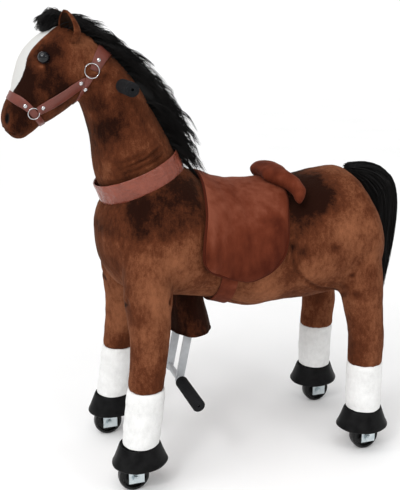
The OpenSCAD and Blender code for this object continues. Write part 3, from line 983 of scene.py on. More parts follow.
# ---------------------------------------------------------------- hair
@dataclass
class Locks:
    """Locks of hair: root-to-tip curves, gathered from clumps of strands."""

    seed: int
    strand_radius: float = 0.0007
    sides: int = 3

    def __post_init__(self) -> None:
        """Seeds the random draws."""
        self.random = np.random.default_rng(self.seed)
        self.curves: list[np.ndarray] = []
        self.tones: list[float] = []

    def clump(self, curve: np.ndarray, strands: int, root_spread: np.ndarray, tip_spread: float) -> None:
        """Adds the strands of one clump.

        Args:
            curve: points of the clump's middle, from root to tip.
            strands: how many strands it has.
            root_spread: how far strands part along X, Y and Z at the root.
            tip_spread: how far they part at the tip.
        """
        k = len(curve)
        along = np.linspace(0, 1, k)[:, None]
        tone = self.random.uniform(0, 1)
        for _ in range(strands):
            offset = self.random.normal(0, 1, 3)
            part = root_spread * (1 - along) + tip_spread * along
            wave = np.sin(along * self.random.uniform(2, 5) + self.random.uniform(0, 6)) * 0.0012
            short = 1 - 0.18 * self.random.uniform(0, 1) ** 2
            line = curve + offset * part + wave * self.random.normal(0, 1, 3)
            self.curves.append(follow(line[: max(3, int(round(k * short)))], k))
            self.tones.append(float(np.clip(tone + self.random.normal(0, 0.18), 0, 1)))

    def build(self, name: str) -> bpy.types.Object:
        """Makes the mesh of all strands.

        Args:
            name: the piece's name.

        Returns:
            The hair object, with the tone of each lock stored.
        """
        lines = np.array(self.curves)
        count, k, _ = lines.shape
        along = np.gradient(lines, axis=1)
        along /= np.maximum(np.linalg.norm(along, axis=2, keepdims=True), 1e-9)
        side = np.cross(along, np.array([0.31, 0.87, 0.38]))
        side /= np.maximum(np.linalg.norm(side, axis=2, keepdims=True), 1e-9)
        up = np.cross(along, side)
        taper = (1 - np.linspace(0, 1, k) ** 1.8) * 0.95 + 0.05
        radius = self.strand_radius * taper[None, :, None] * self.random.uniform(0.7, 1.3, (count, 1, 1))
        turns = 2 * math.pi * np.arange(self.sides) / self.sides
        rings = [lines + radius * (math.cos(t) * side + math.sin(t) * up) for t in turns]
        points = np.stack(rings, axis=2).reshape(-1, 3)
        n = self.sides
        start = np.arange(count)[:, None, None] * k * n + np.arange(k - 1)[None, :, None] * n
        spoke = np.arange(n)[None, None, :]
        a, b = start + spoke, start + (spoke + 1) % n
        faces = np.stack([a, b, b + n, a + n], axis=-1).reshape(-1, 4)
        ends = [[s * k * n + j for j in range(n)][::-1] for s in range(count)]
        tips = [[(s * k + k - 1) * n + j for j in range(n)] for s in range(count)]
        piece = new_piece(name, points, faces.tolist() + ends + tips)
        store(piece, "lock", np.repeat(self.tones, k * n))
        return piece


# ---------------------------------------------------------------- barrel of the body
@dataclass(frozen=True)
class Barrel:
    """Measured shape of the body between the chest and the rump, in millimetres."""

    rows: tuple[tuple[float, float, float, float], ...] = (
        (-135, 343, 611, 140),
        (-60, 340, 609, 140),
        (-19, 348, 610, 139),
        (20, 362, 620, 138),
        (48, 370, 632, 138),
        (90, 382, 650, 146),
    )

    def point(self, x: float, degrees: float, lift: float) -> np.ndarray:
        """A point on the barrel.

        Args:
            x: place along the body in millimetres.
            degrees: angle from the left side towards the top.
            lift: height over the skin in millimetres.

        Returns:
            The point in metres.
        """
        table = np.array(self.rows)
        low, high, wide = (np.interp(x, table[:, 0], table[:, k]) for k in (1, 2, 3))
        turn = math.radians(degrees)
        half = (high - low) / 2
        return np.array([x, (wide + lift) * math.cos(turn),
                         (low + high) / 2 + (half + lift) * math.sin(turn)]) * MM


BARREL = Barrel()


@dataclass
class PlushBody:
    """The stuffed torso with its four legs, split under the girth into a front and a rear skin."""

    voxel: float = 0.0062
    split_x: float = 0.022
    torso: tuple[Station, ...] = (
        Station((-343, 515), (-355, 468), 46),
        Station((-333, 550), (-356, 434), 90),
        Station((-321, 586), (-347, 403), 122),
        Station((-307, 612), (-330, 383), 140),
        Station((-294, 626), (-309, 368), 149),
        Station((-279, 634), (-284, 360), 151),
        Station((-245, 632), (-245, 352), 151),
        Station((-200, 625), (-200, 348), 149),
        Station((-165, 616), (-165, 346), 145),
        Station((-134, 606), (-134, 345), 140),
        Station((-60, 606), (-60, 340), 139),
        Station((-19, 608), (-19, 348), 138),
        Station((20, 618), (20, 362), 137),
        Station((48, 630), (48, 370), 137),
        Station((62, 637), (62, 374), 139),
        Station((68, 644), (119, 384), 147),
        Station((73, 650), (188, 398), 151),
        Station((79, 654), (236, 423), 147),
        Station((84, 657), (263, 470), 134),
        Station((88, 660), (270, 520), 120),
        Station((90, 662), (270, 554), 106),
        Station((96, 668), (262, 584), 92),
    )
    front_leg: tuple[Station, ...] = (
        Station((233, 486), (155, 486), 34, 92, 0.6),
        Station((238, 430), (138, 430), 49, 102, 0.8),
        Station((235, 385), (141, 385), 45, 107, 0.4),
        Station((230, 345), (146, 345), 41, 112, 0.1),
        Station((230.5, 300), (151.5, 300), 38.5, 117, 0.0),
        Station((234.5, 255), (159.5, 255), 36.5, 121, 0.0),
        Station((237, 236), (163, 236), 36, 122, 0.0),
        Station((238.5, 219), (161.5, 219), 37, 123, 0.0),
    )
    rear_leg: tuple[Station, ...] = (
        Station((-250, 470), (-332, 470), 34, 96, 0.6),
        Station((-246, 405), (-337, 405), 48, 102, 0.9),
        Station((-252, 360), (-340, 360), 45, 108, 0.5),
        Station((-258, 315), (-341, 315), 41.5, 114, 0.15),
        Station((-264, 275), (-344.5, 275), 39.5, 118, 0.0),
        Station((-264, 240), (-342, 240), 38, 122, 0.0),
        Station((-264, 226), (-342, 226), 37.5, 122.5, 0.0),
        Station((-263, 209), (-343, 209), 38.5, 123, 0.0),
    )
    seams: tuple[Crease, ...] = (
        Crease(((-116, 150, 640), (-113, 150, 588), (-111, 150, 545), (-110, 150, 503), (-112, 150, 476),
               (-120, 148, 448), (-145, 140, 421), (-178, 125, 398), (-215, 105, 383), (-243, 90, 374)),
               3.4, 5.0, 0.45, y_weight=0.3, fade=0.06),
        Crease(((288, 60, 520), (283, 90, 492), (276, 108, 470), (263, 120, 450), (246, 126, 430),
               (236, 120, 408), (234, 90, 395)), 4.0, 4.5, 0.4, y_weight=0.6, fade=0.2),
        Crease(((150, 70, 372), (158, 100, 385), (150, 130, 405), (140, 142, 430)), 4.0, 3.0, 0.4,
               y_weight=0.5, fade=0.3),
        Crease(((-252, 80, 352), (-250, 110, 372), (-238, 135, 395), (-226, 145, 420)), 4.5, 2.6, 0.4,
               y_weight=0.5, fade=0.3),
        Crease(((60, 0, 374), (0, 0, 354), (-60, 0, 340), (-130, 0, 343), (-220, 0, 350)), 2.4, 2.6, 0.5,
               both_sides=False, fade=0.05),
        Crease(((60, 60, 384), (10, 72, 380), (-40, 60, 362), (-90, 70, 362)), 7.0, 2.6, 0.4, fade=0.3),
        Crease(((-330, 60, 612), (-350, 66, 580), (-368, 66, 530), (-374, 60, 470), (-362, 60, 410)), 2.2,
               1.6, 0.4, fade=0.1),
    )
    # Painted shadow among these patches: the row at (70, 478) darkens the skin under the saddle flap's
    # front lower corner.
    patches: tuple[Patch, ...] = tuple(Patch(*row) for row in (
        (215, 582, 36, -0.34), (212, 620, 30, -0.26), (187, 595, 34, -0.26), (165, 618, 34, -0.24),
        (142, 578, 34, -0.24), (92, 619, 38, -0.34), (125, 618, 34, -0.24), (92, 580, 26, -0.22),
        (150, 545, 20, -0.14), (262, 545, 14, -0.24), (204, 545, 20, -0.16), (262, 470, 26, -0.16),
        (99, 535, 30, 0.16), (182, 525, 36, 0.14), (249, 588, 14, 0.14), (135, 497, 34, 0.24),
        (112, 462, 34, 0.24), (194, 440, 46, 0.26), (160, 395, 26, 0.14), (205, 340, 34, 0.34),
        (200, 285, 34, 0.26), (170, 290, 12, -0.12), (205, 250, 22, -0.06), (70, 478, 10, -0.5),
        (-168, 622, 40, -0.50), (-125, 592, 32, -0.46), (-160, 566, 34, -0.40), (-200, 602, 26, -0.34),
        (-143, 640, 28, -0.30), (-195, 572, 22, -0.20), (-130, 545, 20, -0.2), (-134, 486, 15, -0.50),
        (-112, 500, 10, -0.36), (-202, 491, 10, -0.40), (-120, 530, 16, -0.2), (-253, 422, 7, -0.55),
        (-265, 377, 9, -0.34), (-250, 392, 7, -0.25), (-285, 430, 16, -0.12), (-254, 562, 34, 0.16),
        (-231, 518, 34, 0.24), (-281, 533, 36, 0.14), (-180, 440, 40, 0.26), (-300, 470, 36, 0.16),
        (-46, 405, 56, 0.28), (-268, 345, 26, 0.10), (-300, 290, 30, -0.04), (-316, 330, 16, 0.16),
        (60, 400, 40, 0.16),
    ))

    def build(self, finishes: Wardrobe) -> None:
        """Makes both skins and dresses them.

        Args:
            finishes: the shared materials.
        """
        parts = [loft("torso", list(follow([s.ring(56) for s in self.torso], 80)))]
        for side in (1, -1):
            for legs in (self.front_leg, self.rear_leg):
                parts.append(loft("leg", list(follow([s.ring(40, side) for s in legs], 30))))
        skin = fuse("body_skin", parts, self.voxel, 7)
        puff(skin, 0.0035, pinned=self._seam_points(skin))
        subdivide(skin)
        for seam in self.seams:
            seam.press(skin)
        points, normals = read_points(skin), read_normals(skin)
        lumps = cloud(points, (14, 14, 12), 5.2, 3) * 1.5 + cloud(points, (50, 50, 34), 8.4, 2) * 0.45
        write_points(skin, points + normals * (lumps * MM)[:, None])
        # The seams' grooves get painted shade, taken off the pile's tone.
        tone = pile_tone(read_points(skin), self.patches, 0.55, 0.25, 11.3) - self._stitch_shade(skin)
        store(skin, "pile", np.clip(tone, -0.2, 1.15))
        self._split(skin, finishes)

    def _stitch_shade(self, skin: bpy.types.Object) -> np.ndarray:
        """Painted shade along the seams: how much darker the pile is painted in their grooves.

        Args:
            skin: the stuffed body skin.

        Returns:
            One value for each vertex.
        """
        points = np.abs(read_points(skin) * np.array([0, 1, 0])) + read_points(skin) * np.array([1, 0, 1])
        shade = np.zeros(len(points))
        for seam in self.seams:
            gap, _ = distance_to_path(points, seam.path, (1.0, seam.y_weight, 1.0))
            shade = np.maximum(shade, 0.75 * np.exp(-((gap / 0.0034) ** 2)))
        return shade

    def _seam_points(self, skin: bpy.types.Object) -> np.ndarray:
        """The vertices near the sewn seams, which the stuffing doesn't move.

        Args:
            skin: the stuffed body skin.

        Returns:
            The numbers of those vertices.
        """
        points = read_points(skin).copy()
        points[:, 1] = np.abs(points[:, 1])
        held = np.zeros(len(points), bool)
        for seam in self.seams:
            gap, _ = distance_to_path(points, seam.path, (1.0, seam.y_weight, 1.0))
            held |= gap < 0.007
        return np.flatnonzero(held)

    def _split(self, skin: bpy.types.Object, finishes: Wardrobe) -> None:
        """Cuts the skin in two closed pieces under the girth.

        Args:
            skin: the finished body skin.
            finishes: the shared materials.
        """
        left_node, right_node = "left_leg_cover", "right_leg_cover"
        plans = (
            ("body_front", 1, "front_frame", (0.105, 0, 0.5), (0.025, 0, 0.5),
             ("chest_cover", "belly_cover", f"front_{left_node}", f"front_{right_node}")),
            ("body_rear", -1, "rear_frame", (-0.205, 0, 0.5), (-0.085, 0, 0.5),
             ("rump_cover", f"rear_{left_node}", f"rear_{right_node}")),
        )
        for name, sign, body, start, end, nodes in plans:
            mesh = skin.data.copy()
            piece = bpy.data.objects.new(name, mesh)
            bpy.context.scene.collection.objects.link(piece)
            form = bmesh.new()
            form.from_mesh(mesh)
            cut = bmesh.ops.bisect_plane(
                form,
                geom=[*form.verts, *form.edges, *form.faces],
                plane_co=(self.split_x, 0, 0),
                plane_no=(-sign, 0, 0),
                clear_outer=True,
            )
            rim = [e for e in cut["geom_cut"] if isinstance(e, bmesh.types.BMEdge)]
            bmesh.ops.holes_fill(form, edges=rim)
            form.to_mesh(mesh)
            form.free()
            wear(piece, finishes.plush, None)
            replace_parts(piece, *nodes)
            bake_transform(piece)
        bpy.data.objects.remove(skin)


# ---------------------------------------------------------------- neck and head
@dataclass
class PlushHead:
    """Neck and head in one stuffed skin, with ears, eyes and the white blaze."""

    voxel: float = 0.0044
    neck: tuple[Station, ...] = (
        Station((94, 671), (242, 607), 80),
        Station((99, 682), (252, 616), 83),
        Station((108, 700), (263, 634), 85),
        Station((127, 738), (270, 667), 83),
        Station((153, 785), (273, 718), 76),
        Station((180, 832), (279, 752), 70),
        Station((212, 872), (287, 780), 66),
        Station((245, 903), (295, 800), 63),
        Station((285, 925), (305, 806), 60),
    )
    head: tuple[Station, ...] = (
        Station((246, 905), (297, 801), 63),
        Station((285, 932), (305, 792), 67),
        Station((318, 945), (318, 781), 70),
        Station((350, 932), (335, 770), 69),
        Station((380, 912), (352, 760), 63),
        Station((402, 884), (368, 752), 54),
        Station((414, 852), (382, 742), 46),
        Station((423, 816), (395, 733), 42),
        Station((435, 795), (407, 727), 41),
        Station((443, 772), (422, 729), 35),
        Station((443, 757), (432, 738), 18),
    )
    folds: tuple[Crease, ...] = (
        Crease(((372, 40, 757), (386, 44, 752), (402, 44, 746), (420, 40, 742), (436, 24, 744),
               (442, 0, 748)), 2.0, 2.4, 0.5, y_weight=0.7, fade=0.05),
        Crease(((276, 60, 655), (237, 88, 668), (187, 88, 688), (137, 70, 712)), 3.0, 4.0, 0.7,
               y_weight=0.4),
        Crease(((270, 60, 668), (232, 84, 680), (200, 84, 694), (170, 80, 706)), 3.0, 3.2, 0.7,
               y_weight=0.4),
        Crease(((262, 60, 644), (225, 88, 660), (180, 88, 678), (128, 70, 700)), 2.6, 3.0, 0.7,
               y_weight=0.4),
        Crease(((280, 60, 690), (250, 80, 696), (224, 80, 706)), 3.2, 2.4, 0.6, y_weight=0.4, fade=0.35),
        Crease(((290, 56, 931), (280, 62, 917), (272, 66, 899), (268, 66, 880)), 1.8, 2.2, 0.7,
               y_weight=0.5, fade=0.15),
        Crease(((262, 60, 842), (250, 62, 846), (238, 60, 840)), 3.0, 2.6, 0.5, y_weight=0.5, fade=0.3),
        Crease(((391, 52, 896), (386, 55, 905), (375, 58, 909), (358, 62, 908)), 5.0, -3.0, 0.0,
               y_weight=0.7, fade=0.25),
        Crease(((388, 52, 872), (378, 58, 866), (364, 62, 865), (352, 65, 872)), 3.2, -2.4, 0.0,
               y_weight=0.7, fade=0.25),
        Crease(((384, 60, 886), (366, 66, 884), (352, 70, 884)), 10.0, 3.4, 0.0, y_weight=0.7, fade=0.2),
        Crease(((396, 50, 850), (404, 48, 830), (408, 46, 812)), 13.0, 2.6, 0.0, y_weight=0.6, fade=0.3),
        Crease(((330, 75, 850), (318, 75, 825)), 28.0, -3.5, 0.0, y_weight=0.5, fade=0.4),
    )
    # Painted shade and painted highlights among these patches: the rows at (366, 884) and (350, 892) darken
    # the eye's socket, and the small bright rows at (376, 912), (391, 905), (355, 920) and (370, 868) light
    # the lids' ridges.
    patches: tuple[Patch, ...] = tuple(Patch(*row) for row in (
        (366, 884, 18, -0.42), (350, 892, 20, -0.36), (384, 858, 20, -0.40), (395, 836, 20, -0.34),
        (412, 824, 16, -0.30), (371, 835, 22, -0.34), (352, 846, 20, -0.26), (350, 820, 24, -0.34),
        (355, 862, 12, -0.16), (421, 783, 20, -0.42), (414, 753, 24, -0.46), (396, 800, 18, -0.30),
        (329, 812, 18, -0.35), (338, 896, 14, -0.30), (395, 732, 7, 0.35), (390, 738, 6, 0.2),
        (310, 904, 18, 0.10), (289, 913, 16, 0.16), (303, 863, 18, 0.06), (352, 787, 12, 0.16),
        (376, 912, 8, 0.34), (391, 905, 7, 0.30), (355, 920, 8, 0.26), (370, 868, 5, 0.60),
        (258, 848, 12, -0.36), (242, 872, 12, -0.20), (252, 770, 30, -0.28), (235, 737, 30, -0.26),
        (266, 792, 16, -0.26), (277, 702, 14, -0.22), (242, 690, 14, -0.12), (266, 740, 18, -0.22),
        (292, 750, 14, -0.3), (240, 828, 12, 0.14), (185, 787, 24, 0.10), (197, 720, 22, 0.14),
        (143, 745, 22, 0.18), (222, 706, 12, 0.16), (253, 661, 18, 0.12), (205, 830, 18, -0.12),
        (160, 690, 14, -0.14), (264, 860, 10, 0.20), (217, 655, 14, -0.2),
    ))
    blaze: tuple[tuple[float, float, float], ...] = (
        (318, 946, 14), (334, 940, 20), (350, 932, 25), (366, 923, 29), (380, 912, 31), (393, 898, 31),
        (402, 884, 33), (408, 868, 37), (414, 852, 36), (418, 836, 29), (422, 822, 19), (424, 808, 15),
    )
    nostril: Point = (438, 30, 772)
    eye_at: Point = (366.5, 61.0, 884)
    eye_radius: float = 11.6

    def surface(self, t: float, degrees: float, lift: float) -> np.ndarray:
        """A point over the head's lofted form.

        Args:
            t: station number, with fractions between stations.
            degrees: angle from the left side towards the top.
            lift: height over the form in millimetres.

        Returns:
            The point in metres.
        """
        i = max(0, min(len(self.head) - 2, math.floor(t)))
        a, b, f = self.head[i], self.head[i + 1], t - i
        upper = np.array(a.upper) * (1 - f) + np.array(b.upper) * f
        lower = np.array(a.lower) * (1 - f) + np.array(b.lower) * f
        wide = a.half_width * (1 - f) + b.half_width * f
        centre, reach = (upper + lower) / 2, (upper - lower) / 2
        turn = math.radians(degrees)
        grow = 1 + lift / np.linalg.norm(reach)
        x, z = centre + reach * grow * math.sin(turn)
        return np.array([x, (wide + lift) * math.cos(turn), z]) * MM

    def build(self, finishes: Wardrobe) -> bpy.types.Object:
        """Makes the skin, eyes and ears.

        Args:
            finishes: the shared materials.

        Returns:
            The skin, for straps to lie on.
        """
        parts = [
            loft("neck", list(follow([s.ring(48) for s in self.neck], 40))),
            loft("skull", list(follow([s.ring(48) for s in self.head], 60))),
        ]
        skin = fuse("head_neck", parts, self.voxel, 6)
        puff(skin, 0.002)
        subdivide(skin)
        for fold in self.folds:
            fold.press(skin)
        self._mark(skin)
        wear(skin, finishes.face_plush, "head")
        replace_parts(skin, "neck_cover", "head_cover")
        self._eyes(finishes)
        for side in Side:
            self._ear(side, finishes)
        return skin

    def _mark(self, skin: bpy.types.Object) -> None:
        """Dents the nostrils and stores the pile, the blaze and the black marks.

        Args:
            skin: the stuffed skin of the head and neck.
        """
        points, normals = read_points(skin), read_normals(skin)
        lumps = cloud(points, (24, 24, 20), 2.7, 2) * 0.9 + cloud(points, (70, 70, 50), 4.4, 2) * 0.3
        points = points + normals * (lumps * MM)[:, None]
        mirrored = points.copy()
        mirrored[:, 1] = np.abs(mirrored[:, 1])
        gap = np.linalg.norm((mirrored - np.array(self.nostril) * MM) * np.array([1.0, 1.0, 0.62]),
                             axis=1) / MM
        points = points - normals * (5.5 * np.exp(-((gap / 6.0) ** 2)) * MM)[:, None]
        write_points(skin, points)
        store(skin, "pile", np.clip(pile_tone(points, self.patches, 0.47, 0.28, 31.7), -0.2, 1.15))
        line = [(x, 0.0, z) for x, z, _ in self.blaze]
        flat_gap, share = distance_to_path(points * np.array([1, 0, 1]), line, (1.0, 1.0, 1.0))
        half = np.interp(share * (len(self.blaze) - 1), range(len(self.blaze)),
                         [w for _, _, w in self.blaze])
        inside = half - np.abs(points[:, 1]) / MM
        past = (points[:, 0] / MM - 318) * 0.6 + (points[:, 2] / MM - 946) * -0.35
        inside = np.where((share <= 0.0) & (past < 0), -6.0, inside)
        inside = np.where(flat_gap > 0.03, -8.0, inside)
        inside = np.minimum(inside, points[:, 2] / MM - 806)
        store(skin, "blaze", inside)
        store(skin, "ink", np.clip(1.7 - gap / 6.0, 0, 1))

    def _eyes(self, finishes: Wardrobe) -> None:
        """Makes two glossy domes, each in a rolled lid.

        Args:
            finishes: the shared materials.
        """
        for index, side in enumerate(Side):
            centre = Vector((self.eye_at[0], side.value * self.eye_at[1], self.eye_at[2])) * MM
            look = Vector((0.26, side.value * 0.95, 0.12)).normalized()
            turn = look.to_track_quat("Z", "Y").to_matrix()
            rings, radius = [], self.eye_radius * MM
            for k in range(1, 13):
                tilt = math.radians(8.2 * k)
                spokes = [(math.sin(tilt) * math.cos(a), math.sin(tilt) * math.sin(a), math.cos(tilt))
                          for a in
                          np.linspace(0, 2 * math.pi, 36, endpoint=False)]
                rings.append(np.array([centre + turn @ (Vector(s) * radius) - look * radius * 0.50
                                       for s in spokes]))
            eye = wear(loft(f"{side.word}_eye", rings), finishes.eye, "head")
            if index == 0:
                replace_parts(eye, "eyes")

    def _ear(self, side: Side, finishes: Wardrobe) -> None:
        """Makes one cupped ear with a dark lining and a rolled rim.

        Args:
            side: the side of the head.
            finishes: the shared materials.
        """
        base, up = Vector((321, 51, 910)), Vector((-0.03, 0.10, 0.99)).normalized()
        face = Vector((0.90, 0.42, 0.05)).normalized()
        across = up.cross(face).normalized()
        widths = follow([[9], [15], [21], [23.5], [23], [19], [11.5], [2.5]], 22)[:, 0]
        cups = follow([[16], [20], [21], [19], [15], [11], [7], [3]], 22)[:, 0]
        rows, columns, thick = 22, 17, 6.5
        front, back = [], []
        for i in range(rows):
            height = 58.0 * i / (rows - 1)
            for j in range(columns):
                v = 2 * j / (columns - 1) - 1
                wide = widths[i] * math.sin(v * math.pi / 2)
                deep = -cups[i] * math.cos(v * math.pi / 2) + 0.10 * height * (height / 61.0)
                spot = base + up * height + across * wide + face * deep
                pad = thick * (1 - abs(v) ** 4 * 0.6) * (1.0 if i < rows - 2 else 0.6)
                out = (-face * math.cos(v * 1.2) + across * math.sin(v * 1.2)).normalized()
                front.append(spot)
                back.append(spot + out * pad)
        n = rows * columns
        points = np.array([(p.x, side.value * p.y, p.z) for p in front + back]) * MM
        faces, lining = [], []
        for i in range(rows - 1):
            for j in range(columns - 1):
                a, b = i * columns + j, i * columns + j + 1
                faces += [[a, b, b + columns, a + columns],
                          [n + a, n + a + columns, n + b + columns, n + b]]
                lining += [0 < j < columns - 2 and i < rows - 3, False]
        rim = [j for j in range(columns)] + [i * columns + columns - 1 for i in range(1, rows)]
        rim += [(rows - 1) * columns + j for j in range(columns - 2, -1, -1)]
        rim += [i * columns for i in range(rows - 2, 0, -1)]
        for a, b in zip(rim, rim[1:] + rim[:1]):
            faces.append([a, b, n + b, n + a])
            lining.append(False)
        ear = new_piece(f"{side.word}_ear_plush", points, faces)
        ear.data.materials.append(finishes.plush)
        ear.data.materials.append(finishes.ear_lining)
        ear.data.polygons.foreach_set("material_index", [int(x) for x in lining])
        form = bmesh.new()
        form.from_mesh(ear.data)
        bmesh.ops.recalc_face_normals(form, faces=form.faces)
        form.to_mesh(ear.data)
        form.free()
        subdivide(ear)
        store(ear, "pile", 0.5 + 0.25 * cloud(read_points(ear), (40, 40, 40), 7.7, 2))
        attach(ear, "head")
        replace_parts(ear, f"{side.word}_ear")
        LOG.info("%s: %d faces", ear.name, len(ear.data.polygons))


@dataclass
class Bridle:
    """Halter of flat leather straps with rings and domed rivets, lying on the head's skin."""

    head: PlushHead
    skin: bpy.types.Object
    thick: float = 2.2
    strap_lift: float = 0.6
    small_ring: Flat = (5.68, -22.5)
    big_ring: Flat = (0.30, 2.0)

    def __post_init__(self) -> None:
        """Reads the skin once, for the straps to find it."""
        points = [tuple(p) for p in read_points(self.skin)]
        self.tree = BVHTree.FromPolygons(points, [tuple(f.vertices) for f in self.skin.data.polygons])

    def on_skin(self, t: float, degrees: float, lift: float, sign: int = 1) -> tuple[np.ndarray,
        np.ndarray]:
        """Finds the skin under a place on the head.

        Args:
            t: station number of the place.
            degrees: its angle from the side towards the top.
            lift: height over the skin in millimetres.
            sign: 1 for the left side, -1 for the right.

        Returns:
            The point in metres, and the direction away from the head.
        """
        far, near = self.head.surface(t, degrees, 40), self.head.surface(t, degrees, -20)
        far[1] *= sign
        near[1] *= sign
        out = (far - near) / np.linalg.norm(far - near)
        hit = self.tree.ray_cast(Vector(far), Vector(-out))[0]
        spot = np.array(hit) if hit is not None else near + out * 0.02
        return spot + out * lift * MM, out

    def strap(self, one: Sequence[Flat], two: Sequence[Flat], steps: int, sign: int,
              loop: bool) -> bpy.types.Object:
        """Lays one flat strap between two edges.

        Args:
            one: places of its first edge, as station number and angle.
            two: places of its second edge.
            steps: cross sections along it.
            sign: 1 for the left side, -1 for the right.
            loop: whether it closes on itself.

        Returns:
            The strap's mesh.
        """
        first, second = follow(one, steps), follow(two, steps)
        sections = []
        across = (0.0, 0.06, 0.5, 0.94, 1.0)
        rise = (0.72, 1.0, 1.06, 1.0, 0.72)
        for a, b in zip(first, second):
            over, under = [], []
            for share, height in zip(across, rise):
                place = a * (1 - share) + b * share
                over.append(self.on_skin(*place, self.strap_lift + self.thick * height, sign)[0])
                under.append(self.on_skin(*place, self.strap_lift - 0.4, sign)[0])
            sections.append(np.array(over + under[::-1]))
        line = np.array(sections)
        for _ in range(2):
            if loop:
                line = (np.roll(line, 1, 0) + 2 * line + np.roll(line, -1, 0)) / 4
            else:
                line[1:-1] = (line[:-2] + 2 * line[1:-1] + line[2:]) / 4
        return loft("strap", list(line), closed=loop)

    def build(self, finishes: Wardrobe) -> None:
        """Makes the straps, rings and rivets.

        Args:
            finishes: the shared materials.
        """
        turns = [10.0 * k for k in range(36)]
        nose = [(6.12 + 1.2 * math.sin(math.radians(a)), a) for a in turns]
        parts = [self.strap([(t - 0.33, a) for t, a in nose], [(t + 0.33, a) for t, a in nose], 36, 1,
                            True)]
        for sign in (1, -1):
            parts.append(
                self.strap(
                    [(5.2, -20.5), (4.6, -22), (3.8, -23.5), (2.6, -23.5), (1.6, -19.5), (0.6, -12)],
                    [(5.2, -36), (4.6, -38), (3.8, -40), (2.6, -41), (1.6, -38.5), (0.6, -33)],
                    40, sign, False,
                )
            )
        down = [-8.0 - 164.0 * k / 24 for k in range(25)]
        parts.append(self.strap(
            [(0.55 * math.sin(math.radians(a)) ** 2 - 0.08, a) for a in down],
            [(0.60 + 0.55 * math.sin(math.radians(a)) ** 2, a) for a in down], 50, 1, False))
        over = [4.0 + 172.0 * k / 20 for k in range(21)]
        lean = [0.35 * math.sin(math.radians(a)) ** 2 for a in over]
        parts.append(self.strap(
            [(0.46 - b, a) for a, b in zip(over, lean)], [(-0.24 - b, a) for a, b in zip(over, lean)], 44,
            1, False))
        straps = wear(join("halter_leather", parts), finishes.leather, "head")
        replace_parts(straps, "halter_straps")
        rings, rivets = [], []
        for sign in (1, -1):
            rings.append(self._ring(self.small_ring, 10.8, 0.95, sign))
            rings.append(self._ring(self.big_ring, 13.8, 1.0, sign))
            for spot in ((4.6, -28.5), (6.26, 4.0), (1.0, -22.0), (0.22, -34.0), (0.08, 25.0)):
                rivets.append(self._rivet(spot, sign))
        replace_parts(wear(join("halter_ring_set", rings), finishes.chrome, "head"),
                    "halter_rings")
        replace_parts(wear(join("halter_rivet_set", rivets), finishes.chrome, "head"),
                    "halter_rivets")

    def _frame(self, spot: Flat, lift: float, sign: int) -> tuple[Vector, Matrix]:
        """The place of a fitting and the turn that lays its axis away from the head."""
        at, out = self.on_skin(*spot, lift, sign)
        lean = Vector(out + np.array([0.0, 0.6 * sign, 0.0])).normalized()
        return Vector(at), lean.to_track_quat("Z", "Y").to_matrix()

    def _ring(self, spot: Flat, radius: float, wire: float, sign: int) -> bpy.types.Object:
        """Makes one round wire ring.

        Args:
            spot: its place along and round the head.
            radius: its radius in millimetres.
            wire: the radius of its wire.
            sign: the side of the head, 1 or -1.

        Returns:
            The ring.
        """
        at, turn = self._frame(spot, 3.6, sign)
        rings = []
        for a in np.linspace(0, 2 * math.pi, 48, endpoint=False):
            spoke = Vector((math.cos(a), math.sin(a), 0))
            rings.append(np.array([
                at + turn @ ((spoke * (radius + wire * math.cos(b))
                              + Vector((0, 0, wire * math.sin(b)))) * MM)
                for b in np.linspace(0, 2 * math.pi, 12, endpoint=False)]))
        return loft("ring", rings, closed=True)

    def _rivet(self, spot: Flat, sign: int) -> bpy.types.Object:
        """Makes one domed rivet with a rolled edge.

        Args:
            spot: its place along and round the head.
            sign: the side of the head, 1 or -1.

        Returns:
            The rivet.
        """
        at, turn = self._frame(spot, self.strap_lift + self.thick, sign)
        profile = ((3.9, -0.8), (4.2, 0.1), (4.0, 0.7), (3.3, 1.5), (2.2, 2.2), (1.0, 2.6), (0.2, 2.7))
        rings = [np.array([at + turn @ (Vector((r * math.cos(a), r * math.sin(a), h)) * MM)
                           for a in np.linspace(0, 2 * math.pi, 20, endpoint=False)]) for r, h in profile]
        return loft("rivet", rings)


